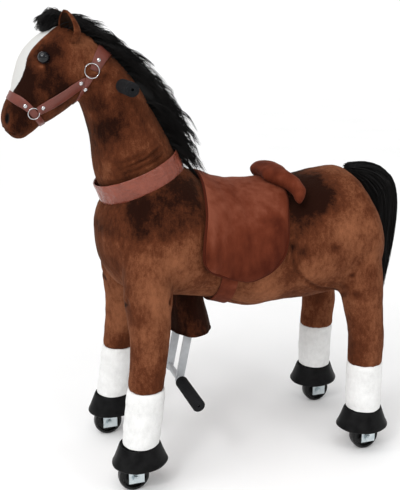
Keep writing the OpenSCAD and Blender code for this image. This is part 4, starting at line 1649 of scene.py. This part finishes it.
@dataclass
class ManeAndTail:
    """Long black hair: the mane down the neck, the forelock between the ears, and the tail."""

    ridge: tuple[Flat, ...] = ((92, 676), (127, 738), (153, 785), (180, 832), (212, 872), (245, 903),
                               (285, 930), (322, 944))
    tips: tuple[Flat, ...] = ((50, 672), (48, 722), (80, 792), (122, 846), (166, 893), (214, 923),
                              (250, 950), (296, 968))
    tail: tuple[Station, ...] = (
        Station((-302, 634), (-300, 618), 12),
        Station((-318, 638), (-310, 610), 19),
        Station((-352, 637), (-326, 596), 25),
        Station((-392, 624), (-336, 576), 29),
        Station((-421, 596), (-346, 558), 31),
        Station((-433, 558), (-352, 540), 31),
        Station((-435, 507), (-358, 507), 29),
        Station((-430, 448), (-364, 450), 25),
        Station((-420, 395), (-388, 397), 17),
        Station((-414, 345), (-400, 348), 7),
        Station((-412, 327), (-407, 329), 3),
    )

    mane_clumps: int = 290
    forelock_clumps: int = 74
    tail_clumps: int = 150

    def build(self, finishes: Wardrobe) -> None:
        """Makes the three pieces of hair.

        Args:
            finishes: the shared materials.
        """
        self._mane(finishes)
        self._forelock(finishes)
        self._tail(finishes)

    def _core(self, name: str, rings: Sequence[np.ndarray]) -> bpy.types.Object:
        """A dark body under the hair, so that no gap shows."""
        core = loft(name, rings)
        store(core, "lock", np.full(len(core.data.vertices), 0.1))
        return core

    def _mane(self, finishes: Wardrobe) -> None:
        """Roots the mane on the neck's ridge and sweeps it up, back and to both sides.

        Args:
            finishes: the shared materials.
        """
        locks = Locks(seed=41, strand_radius=0.00075)
        draw = locks.random
        ridge, tips = follow(self.ridge, 200) * MM, follow(self.tips, 200) * MM
        slope = np.gradient(ridge, axis=0)
        slope /= np.linalg.norm(slope, axis=1, keepdims=True)
        for k in range(self.mane_clumps):
            s = (k + draw.uniform(0, 1)) / self.mane_clumps
            i = int(s * 199)
            lateral = draw.uniform(-1, 1)
            down = np.array([-slope[i][0], 0.0, -slope[i][1]])
            out = np.array([tips[i][0] - ridge[i][0], 0.0, tips[i][1] - ridge[i][1]])
            side = np.array([0.0, math.copysign(1.0, lateral), 0.0])
            height = (1.0 - 0.45 * abs(lateral)) * draw.uniform(0.62, 1.08)
            drape = draw.uniform(0.018, 0.036) * abs(lateral) ** 0.7
            fall = draw.uniform(0.038, 0.072) * (1 - 0.45 * max(0.0, s - 0.7) / 0.3)
            root = np.array([ridge[i][0], 0.0, ridge[i][1]])
            root = root - out * 0.18 * abs(lateral) + side * 0.026 * abs(lateral)
            root = root - out / np.linalg.norm(out) * 0.004
            kick = out * draw.uniform(-0.1, 0.16) + side * draw.uniform(-0.004, 0.006)
            guide = [
                root,
                root + out * height * 0.55 + side * drape * 0.25 + down * fall * 0.08,
                root + out * height * 0.92 + side * drape * 0.65 + down * fall * 0.42,
                root + out * height * 0.86 + side * drape + down * fall + kick,
            ]
            locks.clump(follow(guide, 8), 13, np.array([0.0045, 0.0045, 0.0045]), 0.0011)
        hair = locks.build("mane_strands")
        rings = []
        widths = follow([[20], [26], [28], [28], [27], [25], [22], [12]], 16)
        for r, t, w in zip(follow(self.ridge, 16), follow(self.tips, 16), widths):
            low, high = r - (t - r) * 0.45, r + (t - r) * 0.62
            rings.append(Station(tuple(high), tuple(low), float(w[0])).ring(20))
        core = self._core("mane_core", rings)
        piece = wear(join("mane_hair", [hair, core]), finishes.hair, "head")
        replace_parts(piece, "mane")

    def _forelock(self, finishes: Wardrobe) -> None:
        """Lets the forelock fall forward over the brow.

        Args:
            finishes: the shared materials.
        """
        locks = Locks(seed=43, strand_radius=0.0007)
        draw = locks.random
        for _ in range(self.forelock_clumps):
            lateral = draw.uniform(-1, 1)
            root = np.array([draw.uniform(296, 326), lateral * 21, 944 + draw.uniform(-4, 5)])
            reach = draw.uniform(0.7, 1.05)
            end = np.array([344 + 28 * reach * draw.uniform(0.5, 1.0), lateral * draw.uniform(18, 28),
                            936 + draw.uniform(-8, 12)])
            crest = (root + end) / 2 + np.array([draw.uniform(-6, 6), 0, draw.uniform(12, 20)])
            near = end + np.array([-9, 0, 9]) * draw.uniform(0.5, 1.1)
            locks.clump(follow(np.array([root, crest, near, end]) * MM, 8), 12,
                        np.array([0.004, 0.004, 0.004]), 0.0009)
        hair = locks.build("forelock_strands")
        rings = [Station(u, v, w).ring(18) for u, v, w in (
            ((296, 948), (296, 930), 12), ((312, 963), (312, 930), 22), ((332, 964), (332, 930), 24),
            ((352, 953), (350, 926), 22), ((364, 941), (362, 928), 10))]
        piece = wear(join("forelock_hair", [hair, self._core("forelock_core", rings)]), finishes.hair,
                     "head")
        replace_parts(piece, "forelock")

    def _tail(self, finishes: Wardrobe) -> None:
        """Runs long strands down the tail inside its measured outline.

        Args:
            finishes: the shared materials.
        """
        locks = Locks(seed=47, strand_radius=0.00085)
        draw = locks.random
        rings = follow([s.ring(4) for s in self.tail], 60)
        centres = rings.mean(1)
        sides, ups = rings[:, 0] - centres, rings[:, 1] - centres
        for k in range(self.tail_clumps):
            turn, deep = draw.uniform(0, 2 * math.pi), math.sqrt(draw.uniform(0.25, 1.0))
            start = draw.uniform(0.0, 0.06) if k % 2 else draw.uniform(0.0, 0.4)
            stop = draw.uniform(0.72, 1.0)
            drift = draw.normal(0, 0.16)
            steps = np.linspace(start, stop, 14)
            index = np.clip((steps * 59).astype(int), 0, 59)
            angle = turn + drift * np.linspace(0, 1, 14)
            swell = deep * (0.96 + 0.04 * np.sin(steps * 9 + turn))
            curve = centres[index] + sides[index] * (np.cos(angle) * swell)[:, None]
            curve = curve + ups[index] * (np.sin(angle) * swell)[:, None]
            locks.clump(curve, 14, np.array([0.0022, 0.0022, 0.0016]), 0.0014)
        hair = locks.build("tail_strands")
        core_rings = []
        for ring in follow([s.ring(18) for s in self.tail], 26):
            core_rings.append(ring.mean(0) + (ring - ring.mean(0)) * 0.86)
        piece = wear(join("tail_hair", [hair, self._core("tail_core", core_rings)]), finishes.hair,
                     "rear_frame")
        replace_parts(piece, "tail")


@dataclass
class NeckCollar:
    """Wide leather band round the foot of the neck, creased where the head turns."""

    centre: Flat = (176.5, 642.8)
    half_long: float = 92.5
    half_wide: float = 91.5
    half_height: float = 21.5
    thick: float = 4.0
    lean: float = 22.5

    def build(self, finishes: Wardrobe) -> None:
        """Makes the band.

        Args:
            finishes: the shared materials.
        """
        lean = math.radians(self.lean)
        axis = np.array([math.sin(lean), 0, math.cos(lean)])
        back = np.array([-math.cos(lean), 0, math.sin(lean)])
        middle = np.array([self.centre[0], 0, self.centre[1]])
        sections = []
        profile = [(-1.0, 0.2), (-0.97, 0.75), (-0.86, 1.0), (-0.5, 1.05), (0.0, 1.08), (0.5, 1.05),
                   (0.86, 1.0),
                   (0.97, 0.75), (1.0, 0.2), (0.5, 0.0), (-0.5, 0.0)]
        for turn in np.linspace(0, 2 * math.pi, 220, endpoint=False):
            points = []
            for share, rise in profile:
                around = np.array([math.cos(turn), math.sin(turn), 0])
                crumple = noise.noise(Vector((around[0] * 5 + share * 0.7, around[1] * 5, share * 1.1 + 4)))
                ripple = noise.noise(Vector((around[0] * 11 + 9, around[1] * 11 + share, share * 1.5)))
                puffy = (2.6 * crumple + 1.6 * ripple) * (1 - share**4) * (1.0 if rise > 0 else 0.0)
                out = -self.thick + self.thick * rise + puffy
                edge = self.half_height * share + 0.7 * crumple
                points.append(middle + back * (self.half_long + out) * math.cos(turn)
                              + np.array([0, 1, 0]) * (self.half_wide + out) * math.sin(turn) + axis * edge)
            sections.append(np.array(points) * MM)
        band = wear(subdivide(loft("collar_leather", sections, closed=True)), finishes.collar,
                    "front_frame")
        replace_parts(band, "collar")


# ---------------------------------------------------------------- saddle
@dataclass
class SuedeSaddle:
    """Suede saddle: a padded flap over the back with piped edges, a rolled cantle and a girth strap."""

    flap: tuple[tuple[float, float, float], ...] = (
        (-20.5, 34, 6), (-19.8, 50, -10), (-18, 65, -27), (-14, 78, -44), (-8, 86, -66), (0, 86, -85),
        (12, 82, -98),
        (28, 73, -104), (40, 69, -110), (55, 63, -120), (72, 57, -125), (90, 55, -126),
    )
    lifts: Flat = (3.0, 11.0)
    columns: int = 30
    cantle_spread: float = 46.0

    def build(self, finishes: Wardrobe) -> None:
        """Makes the flap, the cantle and the girth.

        Args:
            finishes: the shared materials.
        """
        self._flap(finishes)
        self._cantle(finishes)
        self._girth(finishes)

    def _rise(self, x: float) -> float:
        """How far the front of the flap stands off, as the chest swings under it."""
        return max(0.0, x - 20) * 0.06

    def _flap(self, finishes: Wardrobe) -> None:
        """Makes the padded flap and its piping.

        Args:
            finishes: the shared materials.
        """
        half = [list(r) for r in self.flap]
        rows = follow(half + [[180 - a, f, r] for a, f, r in half[-2::-1]], 104)
        cols = self.columns
        sections = []
        for angle, front, rear in rows:
            top, bottom = [], []
            for j in range(cols + 1):
                share = j / cols
                x = rear + (front - rear) * share
                edge = min(1.0, 7.0 * min(share, 1 - share) + 0.25)
                end = min(1.0, (min(angle + 20.5, 200.5 - angle)) / 9.0 + 0.25)
                crown = math.sqrt(edge * end)
                padding = self.lifts[0] + 2 + (self.lifts[1] - self.lifts[0] - 2) * crown
                top.append(BARREL.point(x, angle, padding + self._rise(x)))
                bottom.append(BARREL.point(x, angle, self.lifts[0] + self._rise(x)))
            sections.append(np.array(top + bottom[::-1]))
        pad = loft("saddle_pad", sections)
        puff(pad, 0.002, 3.0)
        points, normals = read_points(pad), read_normals(pad)
        folds = cloud(points, (26, 10, 9), 3.3, 3) * 1.3 + cloud(points, (60, 40, 18), 9.1, 2) * 0.35
        write_points(pad, points + normals * (folds * MM)[:, None])
        rim = [self._edge_point(a, f) for a, f, _ in rows] + [self._edge_point(a, r) for a, _,
                                                              r in rows[::-1]]
        piping = self._pipe(rim)
        subdivide(pad)
        pad_count = len(pad.data.vertices)
        saddle = join("saddle_suede", [pad, piping])
        at = read_points(saddle)
        tone = 0.5 + 0.25 * cloud(at, (12, 10, 9), 17.0, 3) + 0.30 * np.clip((at[:, 2] - 0.56) / 0.06, -1,
            1)
        tone = tone + 0.40 * np.exp(-(((at[:, 0] - 0.066) / 0.012) ** 2))
        tone[pad_count:] = -0.55
        store(saddle, "pile", tone)
        wear(saddle, finishes.suede, "seat_frame")
        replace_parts(saddle, "saddle")

    def _edge_point(self, angle: float, x: float) -> np.ndarray:
        """A point of the piped edge."""
        return BARREL.point(x, angle, self.lifts[0] + 2.6 + self._rise(x))

    def _pipe(self, line: Sequence[np.ndarray], radius: float = 2.9) -> bpy.types.Object:
        """A round piping cord sewn along a closed line.

        Args:
            line: points of the sewn edge.
            radius: the piping's radius in millimetres.

        Returns:
            The piping.
        """
        path = np.array(line)
        for _ in range(3):
            path = (np.roll(path, 1, 0) + 2 * path + np.roll(path, -1, 0)) / 4
        along = np.roll(path, -1, 0) - np.roll(path, 1, 0)
        along /= np.maximum(np.linalg.norm(along, axis=1, keepdims=True), 1e-9)
        side = np.cross(along, path - np.array([-0.02, 0.0, 0.48]))
        side /= np.maximum(np.linalg.norm(side, axis=1, keepdims=True), 1e-9)
        up = np.cross(along, side)
        turns = np.linspace(0, 2 * math.pi, 8, endpoint=False)
        rings = [p + radius * MM * (np.cos(turns)[:, None] * s + np.sin(turns)[:, None] * u)
                 for p, s, u in zip(path, side, up)]
        return loft("piping", rings, closed=True)

    def _cantle(self, finishes: Wardrobe) -> None:
        """Makes the stuffed roll across the rear of the saddle, which ends in a lobe on each side.

        Args:
            finishes: the shared materials.
        """
        rings = []
        for angle in np.linspace(90 - self.cantle_spread, 90 + self.cantle_spread, 54):
            t = abs(angle - 90) / self.cantle_spread
            deep = float(np.interp(t, (0, 0.5, 0.75, 0.9, 1.0), (17, 17, 15, 11, 4)))
            wide = float(np.interp(t, (0, 0.3, 0.45, 0.6, 0.8, 0.93, 1.0), (30, 30, 26, 19, 14.5, 9, 3)))
            middle_x = float(np.interp(t, (0, 0.3, 0.45, 0.6, 0.8, 1.0),
                                       (-112, -113, -121, -134, -140, -134)))
            centre = BARREL.point(middle_x, angle, 24.0 - 9.0 * max(0.0, t - 0.6))
            out = BARREL.point(middle_x, angle, 27.0) - BARREL.point(middle_x, angle, 26.0)
            out = out / np.linalg.norm(out)
            ring = []
            for a in np.linspace(0, 2 * math.pi, 22, endpoint=False):
                ring.append(centre + out * deep * math.sin(a) * MM
                            + np.array([wide * math.cos(a) * MM, 0, 0]))
            rings.append(np.array(ring))
        roll = loft("saddle_cantle_roll", rings)
        puff(roll, 0.003, 4.0)
        points, normals = read_points(roll), read_normals(roll)
        folds = cloud(points, (34, 22, 22), 6.6, 3) * 2.2
        write_points(roll, points + normals * (folds * MM)[:, None])
        subdivide(roll)
        store(roll, "pile", 0.42 + 0.35 * cloud(read_points(roll), (24, 20, 20), 19.0, 3))
        wear(roll, finishes.suede, "seat_frame")
        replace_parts(roll, "saddle_cantle")

    def _girth(self, finishes: Wardrobe) -> None:
        """Makes the strap that passes under the belly.

        Args:
            finishes: the shared materials.
        """
        sections = []
        for angle in np.linspace(-11, -169, 70):
            sag = 1.2 * noise.noise(Vector((angle * 0.06, 1.0, 2.0)))
            over = [BARREL.point(x, angle, 4.6 + sag) for x in (5, 6.5, 22, 37.5, 39)]
            under = [BARREL.point(x, angle, 0.4) for x in (39, 37.5, 22, 6.5, 5)]
            sections.append(np.array(over + under))
        strap = loft("girth_suede", sections)
        store(strap, "pile", np.full(len(strap.data.vertices), 0.45))
        wear(strap, finishes.suede, "seat_frame")
        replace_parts(strap, "girth_strap")


@dataclass
class PedalSleeve:
    """Open plush sleeve that hangs under the belly round the pedal bars."""

    stations: tuple[Station, ...] = (
        Station((112, 392), (40, 392), 52),
        Station((112, 364), (40, 364), 54),
        Station((112, 330), (32, 330), 58),
        Station((110, 306), (27, 306), 59.5),
        Station((111, 294), (25, 294), 61),
    )
    thick: float = 2.2

    def build(self, finishes: Wardrobe) -> None:
        """Makes the sleeve with its gathers and turned hem.

        Args:
            finishes: the shared materials.
        """
        rings = follow([s.ring(96) for s in self.stations], 26)
        shell = []
        for level, ring in enumerate(rings):
            share = level / (len(rings) - 1)
            centre = ring.mean(0)
            out = ring - centre
            out /= np.linalg.norm(out, axis=1, keepdims=True)
            turn = np.arctan2(out[:, 1], out[:, 0])
            gather = 1.6 * np.sin(5 * turn + 0.8) + 1.2 * np.sin(9 * turn + 2.0 * share)
            gather = gather * (0.4 + 0.6 * share)
            roll, stitch = ((share - 0.93) / 0.03) ** 2, ((share - 0.84) / 0.015) ** 2
            hem = 0.9 * math.exp(-roll) - 0.8 * math.exp(-stitch)
            shell.append(ring + out * ((gather + hem) * MM)[:, None])
        inner = []
        for r in shell:
            from_middle = r - r.mean(0)
            inner.append(r - from_middle / np.linalg.norm(from_middle, axis=1,
                                                          keepdims=True) * self.thick * MM)
        sleeve = loft("pedal_sleeve_plush", shell + inner[::-1], closed=True)
        points = read_points(sleeve)
        # Painted shade: the pile tone is set low because the sleeve hangs in the belly's shadow.
        store(sleeve, "pile", 0.06 + 0.30 * cloud(points, (30, 30, 12), 23.0, 3))
        wear(sleeve, finishes.plush, "seat_frame")
        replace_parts(sleeve, "pedal_sleeve")


@dataclass
class SockAndHoof:
    """White plush sock and flared rubber hoof of one leg."""

    leg: str
    side: Side
    hoof_x: float
    stations: tuple[Station, ...]
    seed: float

    def build(self, finishes: Wardrobe) -> None:
        """Makes the sock and the hoof.

        Args:
            finishes: the shared materials.
        """
        body = f"{self.leg}_frame"
        name = f"{self.leg}_{self.side.word}"
        rings = list(follow([s.ring(48, self.side.value) for s in self.stations], 40))
        sock = loft(f"{name}_sock_plush", rings)
        points, normals = read_points(sock), read_normals(sock)
        lumps = cloud(points, (22, 22, 30), self.seed, 3) * 1.5 + cloud(points, (60, 60, 60), self.seed + 7,
            2) * 0.5
        points = points + normals * (lumps * MM)[:, None]
        write_points(sock, points)
        subdivide(sock)
        points = read_points(sock)
        store(sock, "pile", 0.62 + 0.22 * cloud(points, (24, 24, 40), self.seed + 2, 3))
        wear(sock, finishes.sock, body)
        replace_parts(sock, f"{name}_sock")
        self._hoof(name, body, finishes)

    def _hoof(self, name: str, body: str, finishes: Wardrobe) -> None:
        """Makes the hollow rubber hoof with its thick lower lip.

        Args:
            name: the leg's name.
            body: the body that it rides on.
            finishes: the shared materials.
        """
        profile = ((38.0, 100.0), (41.5, 104.0), (43.0, 103.0), (45.5, 96.0), (49.5, 84.0), (53.5, 73.0),
                   (56.5, 65.0),
                   (58.6, 61.0), (59.4, 58.0), (59.0, 55.2), (57.0, 53.6), (54.0, 54.2), (52.0, 57.0),
                   (49.0, 70.0),
                   (46.0, 84.0), (20.0, 84.5), (20.0, 99.0))
        sections = []
        for turn in np.linspace(0, 2 * math.pi, 72, endpoint=False):
            wave = 1.0 + 0.012 * math.sin(3 * turn + self.seed) + 0.008 * math.sin(7 * turn + 2 * self.seed)
            sections.append(np.array([
                [self.hoof_x + r * wave * math.cos(turn),
                 self.side.value * 126 + 0.84 * r * wave * math.sin(turn),
                 z + 5.0 * (104.0 - z) / 50.0
                 + (1.2 * math.sin(2 * turn + self.seed) if z > 95 or z < 62 else 0.0)]
                for r, z in profile]) * MM)
        hoof = subdivide(loft(f"{name}_hoof_rubber", sections, closed=True))
        wear(hoof, finishes.rubber, body)
        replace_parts(hoof, f"{name}_hoof")


# ---------------------------------------------------------------- hardware and studio
@dataclass
class Hardware:
    """The frame's own metal, foam and wheel nodes, which keep their shape and get a finish."""

    finishes: Wardrobe

    def build(self) -> None:
        """Dresses every node that the frame keeps, and the hidden soft ones too."""
        look = {
            Slot.PLUSH.value: self.finishes.plush, Slot.SOCK.value: self.finishes.sock,
            Slot.HAIR.value: self.finishes.hair, Slot.SUEDE.value: self.finishes.suede,
            Slot.LEATHER.value: self.finishes.leather, Slot.RUBBER.value: self.finishes.wheel,
            Slot.FOAM.value: self.finishes.foam, Slot.ZINC.value: self.finishes.zinc,
            Slot.CHROME.value: self.finishes.chrome, Slot.STEEL.value: self.finishes.steel,
            Slot.PAINT.value: self.finishes.paint, Slot.PLYWOOD.value: self.finishes.plywood,
            Slot.EYE.value: self.finishes.eye,
        }
        for name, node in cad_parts.items():
            for index, slot in enumerate(node.material_slots):
                base = slot.material.name.split(".")[0] if slot.material else ""
                finish = next((m for key, m in look.items() if key in base), self.finishes.steel)
                node.material_slots[index].material = finish
            if not node.material_slots:
                node.data.materials.append(self.finishes.steel)
            LOG.info("node %s: %s", name, node.material_slots[0].material.name)


@dataclass
class Studio:
    """Pale floor, soft lights and the camera."""

    camera_at: Point = (0.587, 1.631, 0.9785)
    azimuth: float = 18.433
    elevation: float = 16.181
    lens: float = 61.13
    sensor: float = 36.0
    sun_energy: float = 1.62
    sun_spread: float = 60.0
    sun_from: Point = (0.40, 0.34, 0.85)
    sky: float = 0.56

    def build(self, finishes: Wardrobe) -> None:
        """Makes the camera, the lights and the floor.

        Args:
            finishes: the shared materials.
        """
        scene = bpy.context.scene
        a, e = math.radians(self.azimuth), math.radians(self.elevation)
        back = Vector((math.sin(a) * math.cos(e), math.cos(a) * math.cos(e), math.sin(e)))
        right = Vector((0, 0, 1)).cross(back).normalized()
        up = back.cross(right)
        data = bpy.data.cameras.new("camera")
        data.lens = self.lens
        data.sensor_width = self.sensor
        data.sensor_fit = "AUTO"
        data.clip_end = 200.0
        camera = bpy.data.objects.new("camera", data)
        place = Matrix((right, up, back)).transposed().to_4x4()
        place.translation = Vector(self.camera_at)
        camera.matrix_world = place
        scene.collection.objects.link(camera)
        scene.camera = camera
        scene.view_settings.view_transform = "Standard"
        self._lights(scene)
        self._floor(finishes)

    def _lights(self, scene: bpy.types.Scene) -> None:
        """Sets a soft sun, two small boxes for the glints and an even sky.

        Args:
            scene: the scene to light.
        """
        boxes = (
            ("key_box", (2.0, 2.1, 2.6), 0.55, 22.0),
            ("side_box", (-1.4, 2.4, 2.0), 0.8, 9.0),
        )
        data = bpy.data.lights.new("soft_sun", "SUN")
        data.energy = self.sun_energy
        data.angle = math.radians(self.sun_spread)
        sun = bpy.data.objects.new("soft_sun", data)
        sun.rotation_euler = Vector(self.sun_from).to_track_quat("Z", "Y").to_euler()
        scene.collection.objects.link(sun)
        for name, at, size, power in boxes:
            data = bpy.data.lights.new(name, "AREA")
            data.shape = "SQUARE"
            data.size = size
            data.energy = power
            light = bpy.data.objects.new(name, data)
            light.location = at
            light.rotation_euler = (Vector(at) - Vector((0, 0, 0.5))).to_track_quat("Z", "Y").to_euler()
            scene.collection.objects.link(light)
        world = bpy.data.worlds.new("sky")
        world.use_nodes = True
        world.node_tree.nodes["Background"].inputs[0].default_value = (1.0, 1.0, 1.0, 1.0)
        world.node_tree.nodes["Background"].inputs[1].default_value = self.sky
        scene.world = world

    def _floor(self, finishes: Wardrobe) -> None:
        """Lays a wide pale floor that sweeps up into a wall far behind.

        Args:
            finishes: the shared materials.
        """
        reach, bend, foot, top = 26.0, 4.0, 12.0, 14.0
        rows = [(26.0, 0.0), (8.0, 0.0), (0.0, 0.0), (-6.0, 0.0), (-12.0, 0.0)]
        for turn in np.radians(np.linspace(8, 90, 12)):
            rows.append((-foot - bend * math.sin(turn), bend * (1 - math.cos(turn))))
        rows.append((-foot - bend, top))
        across = np.linspace(-reach, reach, 9)
        points = np.array([[x, y, z] for y, z in rows for x in across])
        faces = [[j * 9 + i, j * 9 + i + 1, (j + 1) * 9 + i + 1, (j + 1) * 9 + i]
                 for j in range(len(rows) - 1) for i in range(8)]
        floor = new_piece("studio_floor", points, [face[::-1] for face in faces])
        floor.data.materials.append(finishes.floor)


FRONT_SOCK = (
    Station((236, 223), (164, 223), 35, 123), Station((238.5, 219), (162, 219), 37.5, 123),
    Station((243, 200), (162.5, 200), 39, 123.4), Station((244, 185), (164, 185), 39, 124),
    Station((249, 145), (169.5, 145), 38.5, 125), Station((252.5, 116), (175, 116), 38.5, 126),
    Station((253, 104), (177, 104), 38, 126),
)
REAR_SOCK = (
    Station((-267, 213), (-339, 213), 35, 123), Station((-263.5, 209), (-342.5, 209), 38, 123),
    Station((-262, 190), (-342.5, 190), 39, 124), Station((-262.5, 160), (-341.5, 160), 38.5, 125),
    Station((-263.5, 120), (-342, 120), 38.5, 126), Station((-265, 104), (-341, 104), 38, 126),
)


def main() -> None:
    """Builds the whole horse in order and logs each piece."""
    logging.basicConfig(level=logging.INFO, format="%(message)s")
    finishes = Wardrobe()
    Studio().build(finishes)
    PlushBody().build(finishes)
    head = PlushHead()
    skin = head.build(finishes)
    Bridle(head, skin).build(finishes)
    ManeAndTail().build(finishes)
    NeckCollar().build(finishes)
    SuedeSaddle().build(finishes)
    PedalSleeve().build(finishes)
    for index, side in enumerate(Side):
        SockAndHoof("front", side, 217.0, FRONT_SOCK, 3.0 + index).build(finishes)
        SockAndHoof("rear", side, -303.0, REAR_SOCK, 8.0 + index).build(finishes)
    Hardware(finishes).build()


if __name__ == "__main__":
    main()
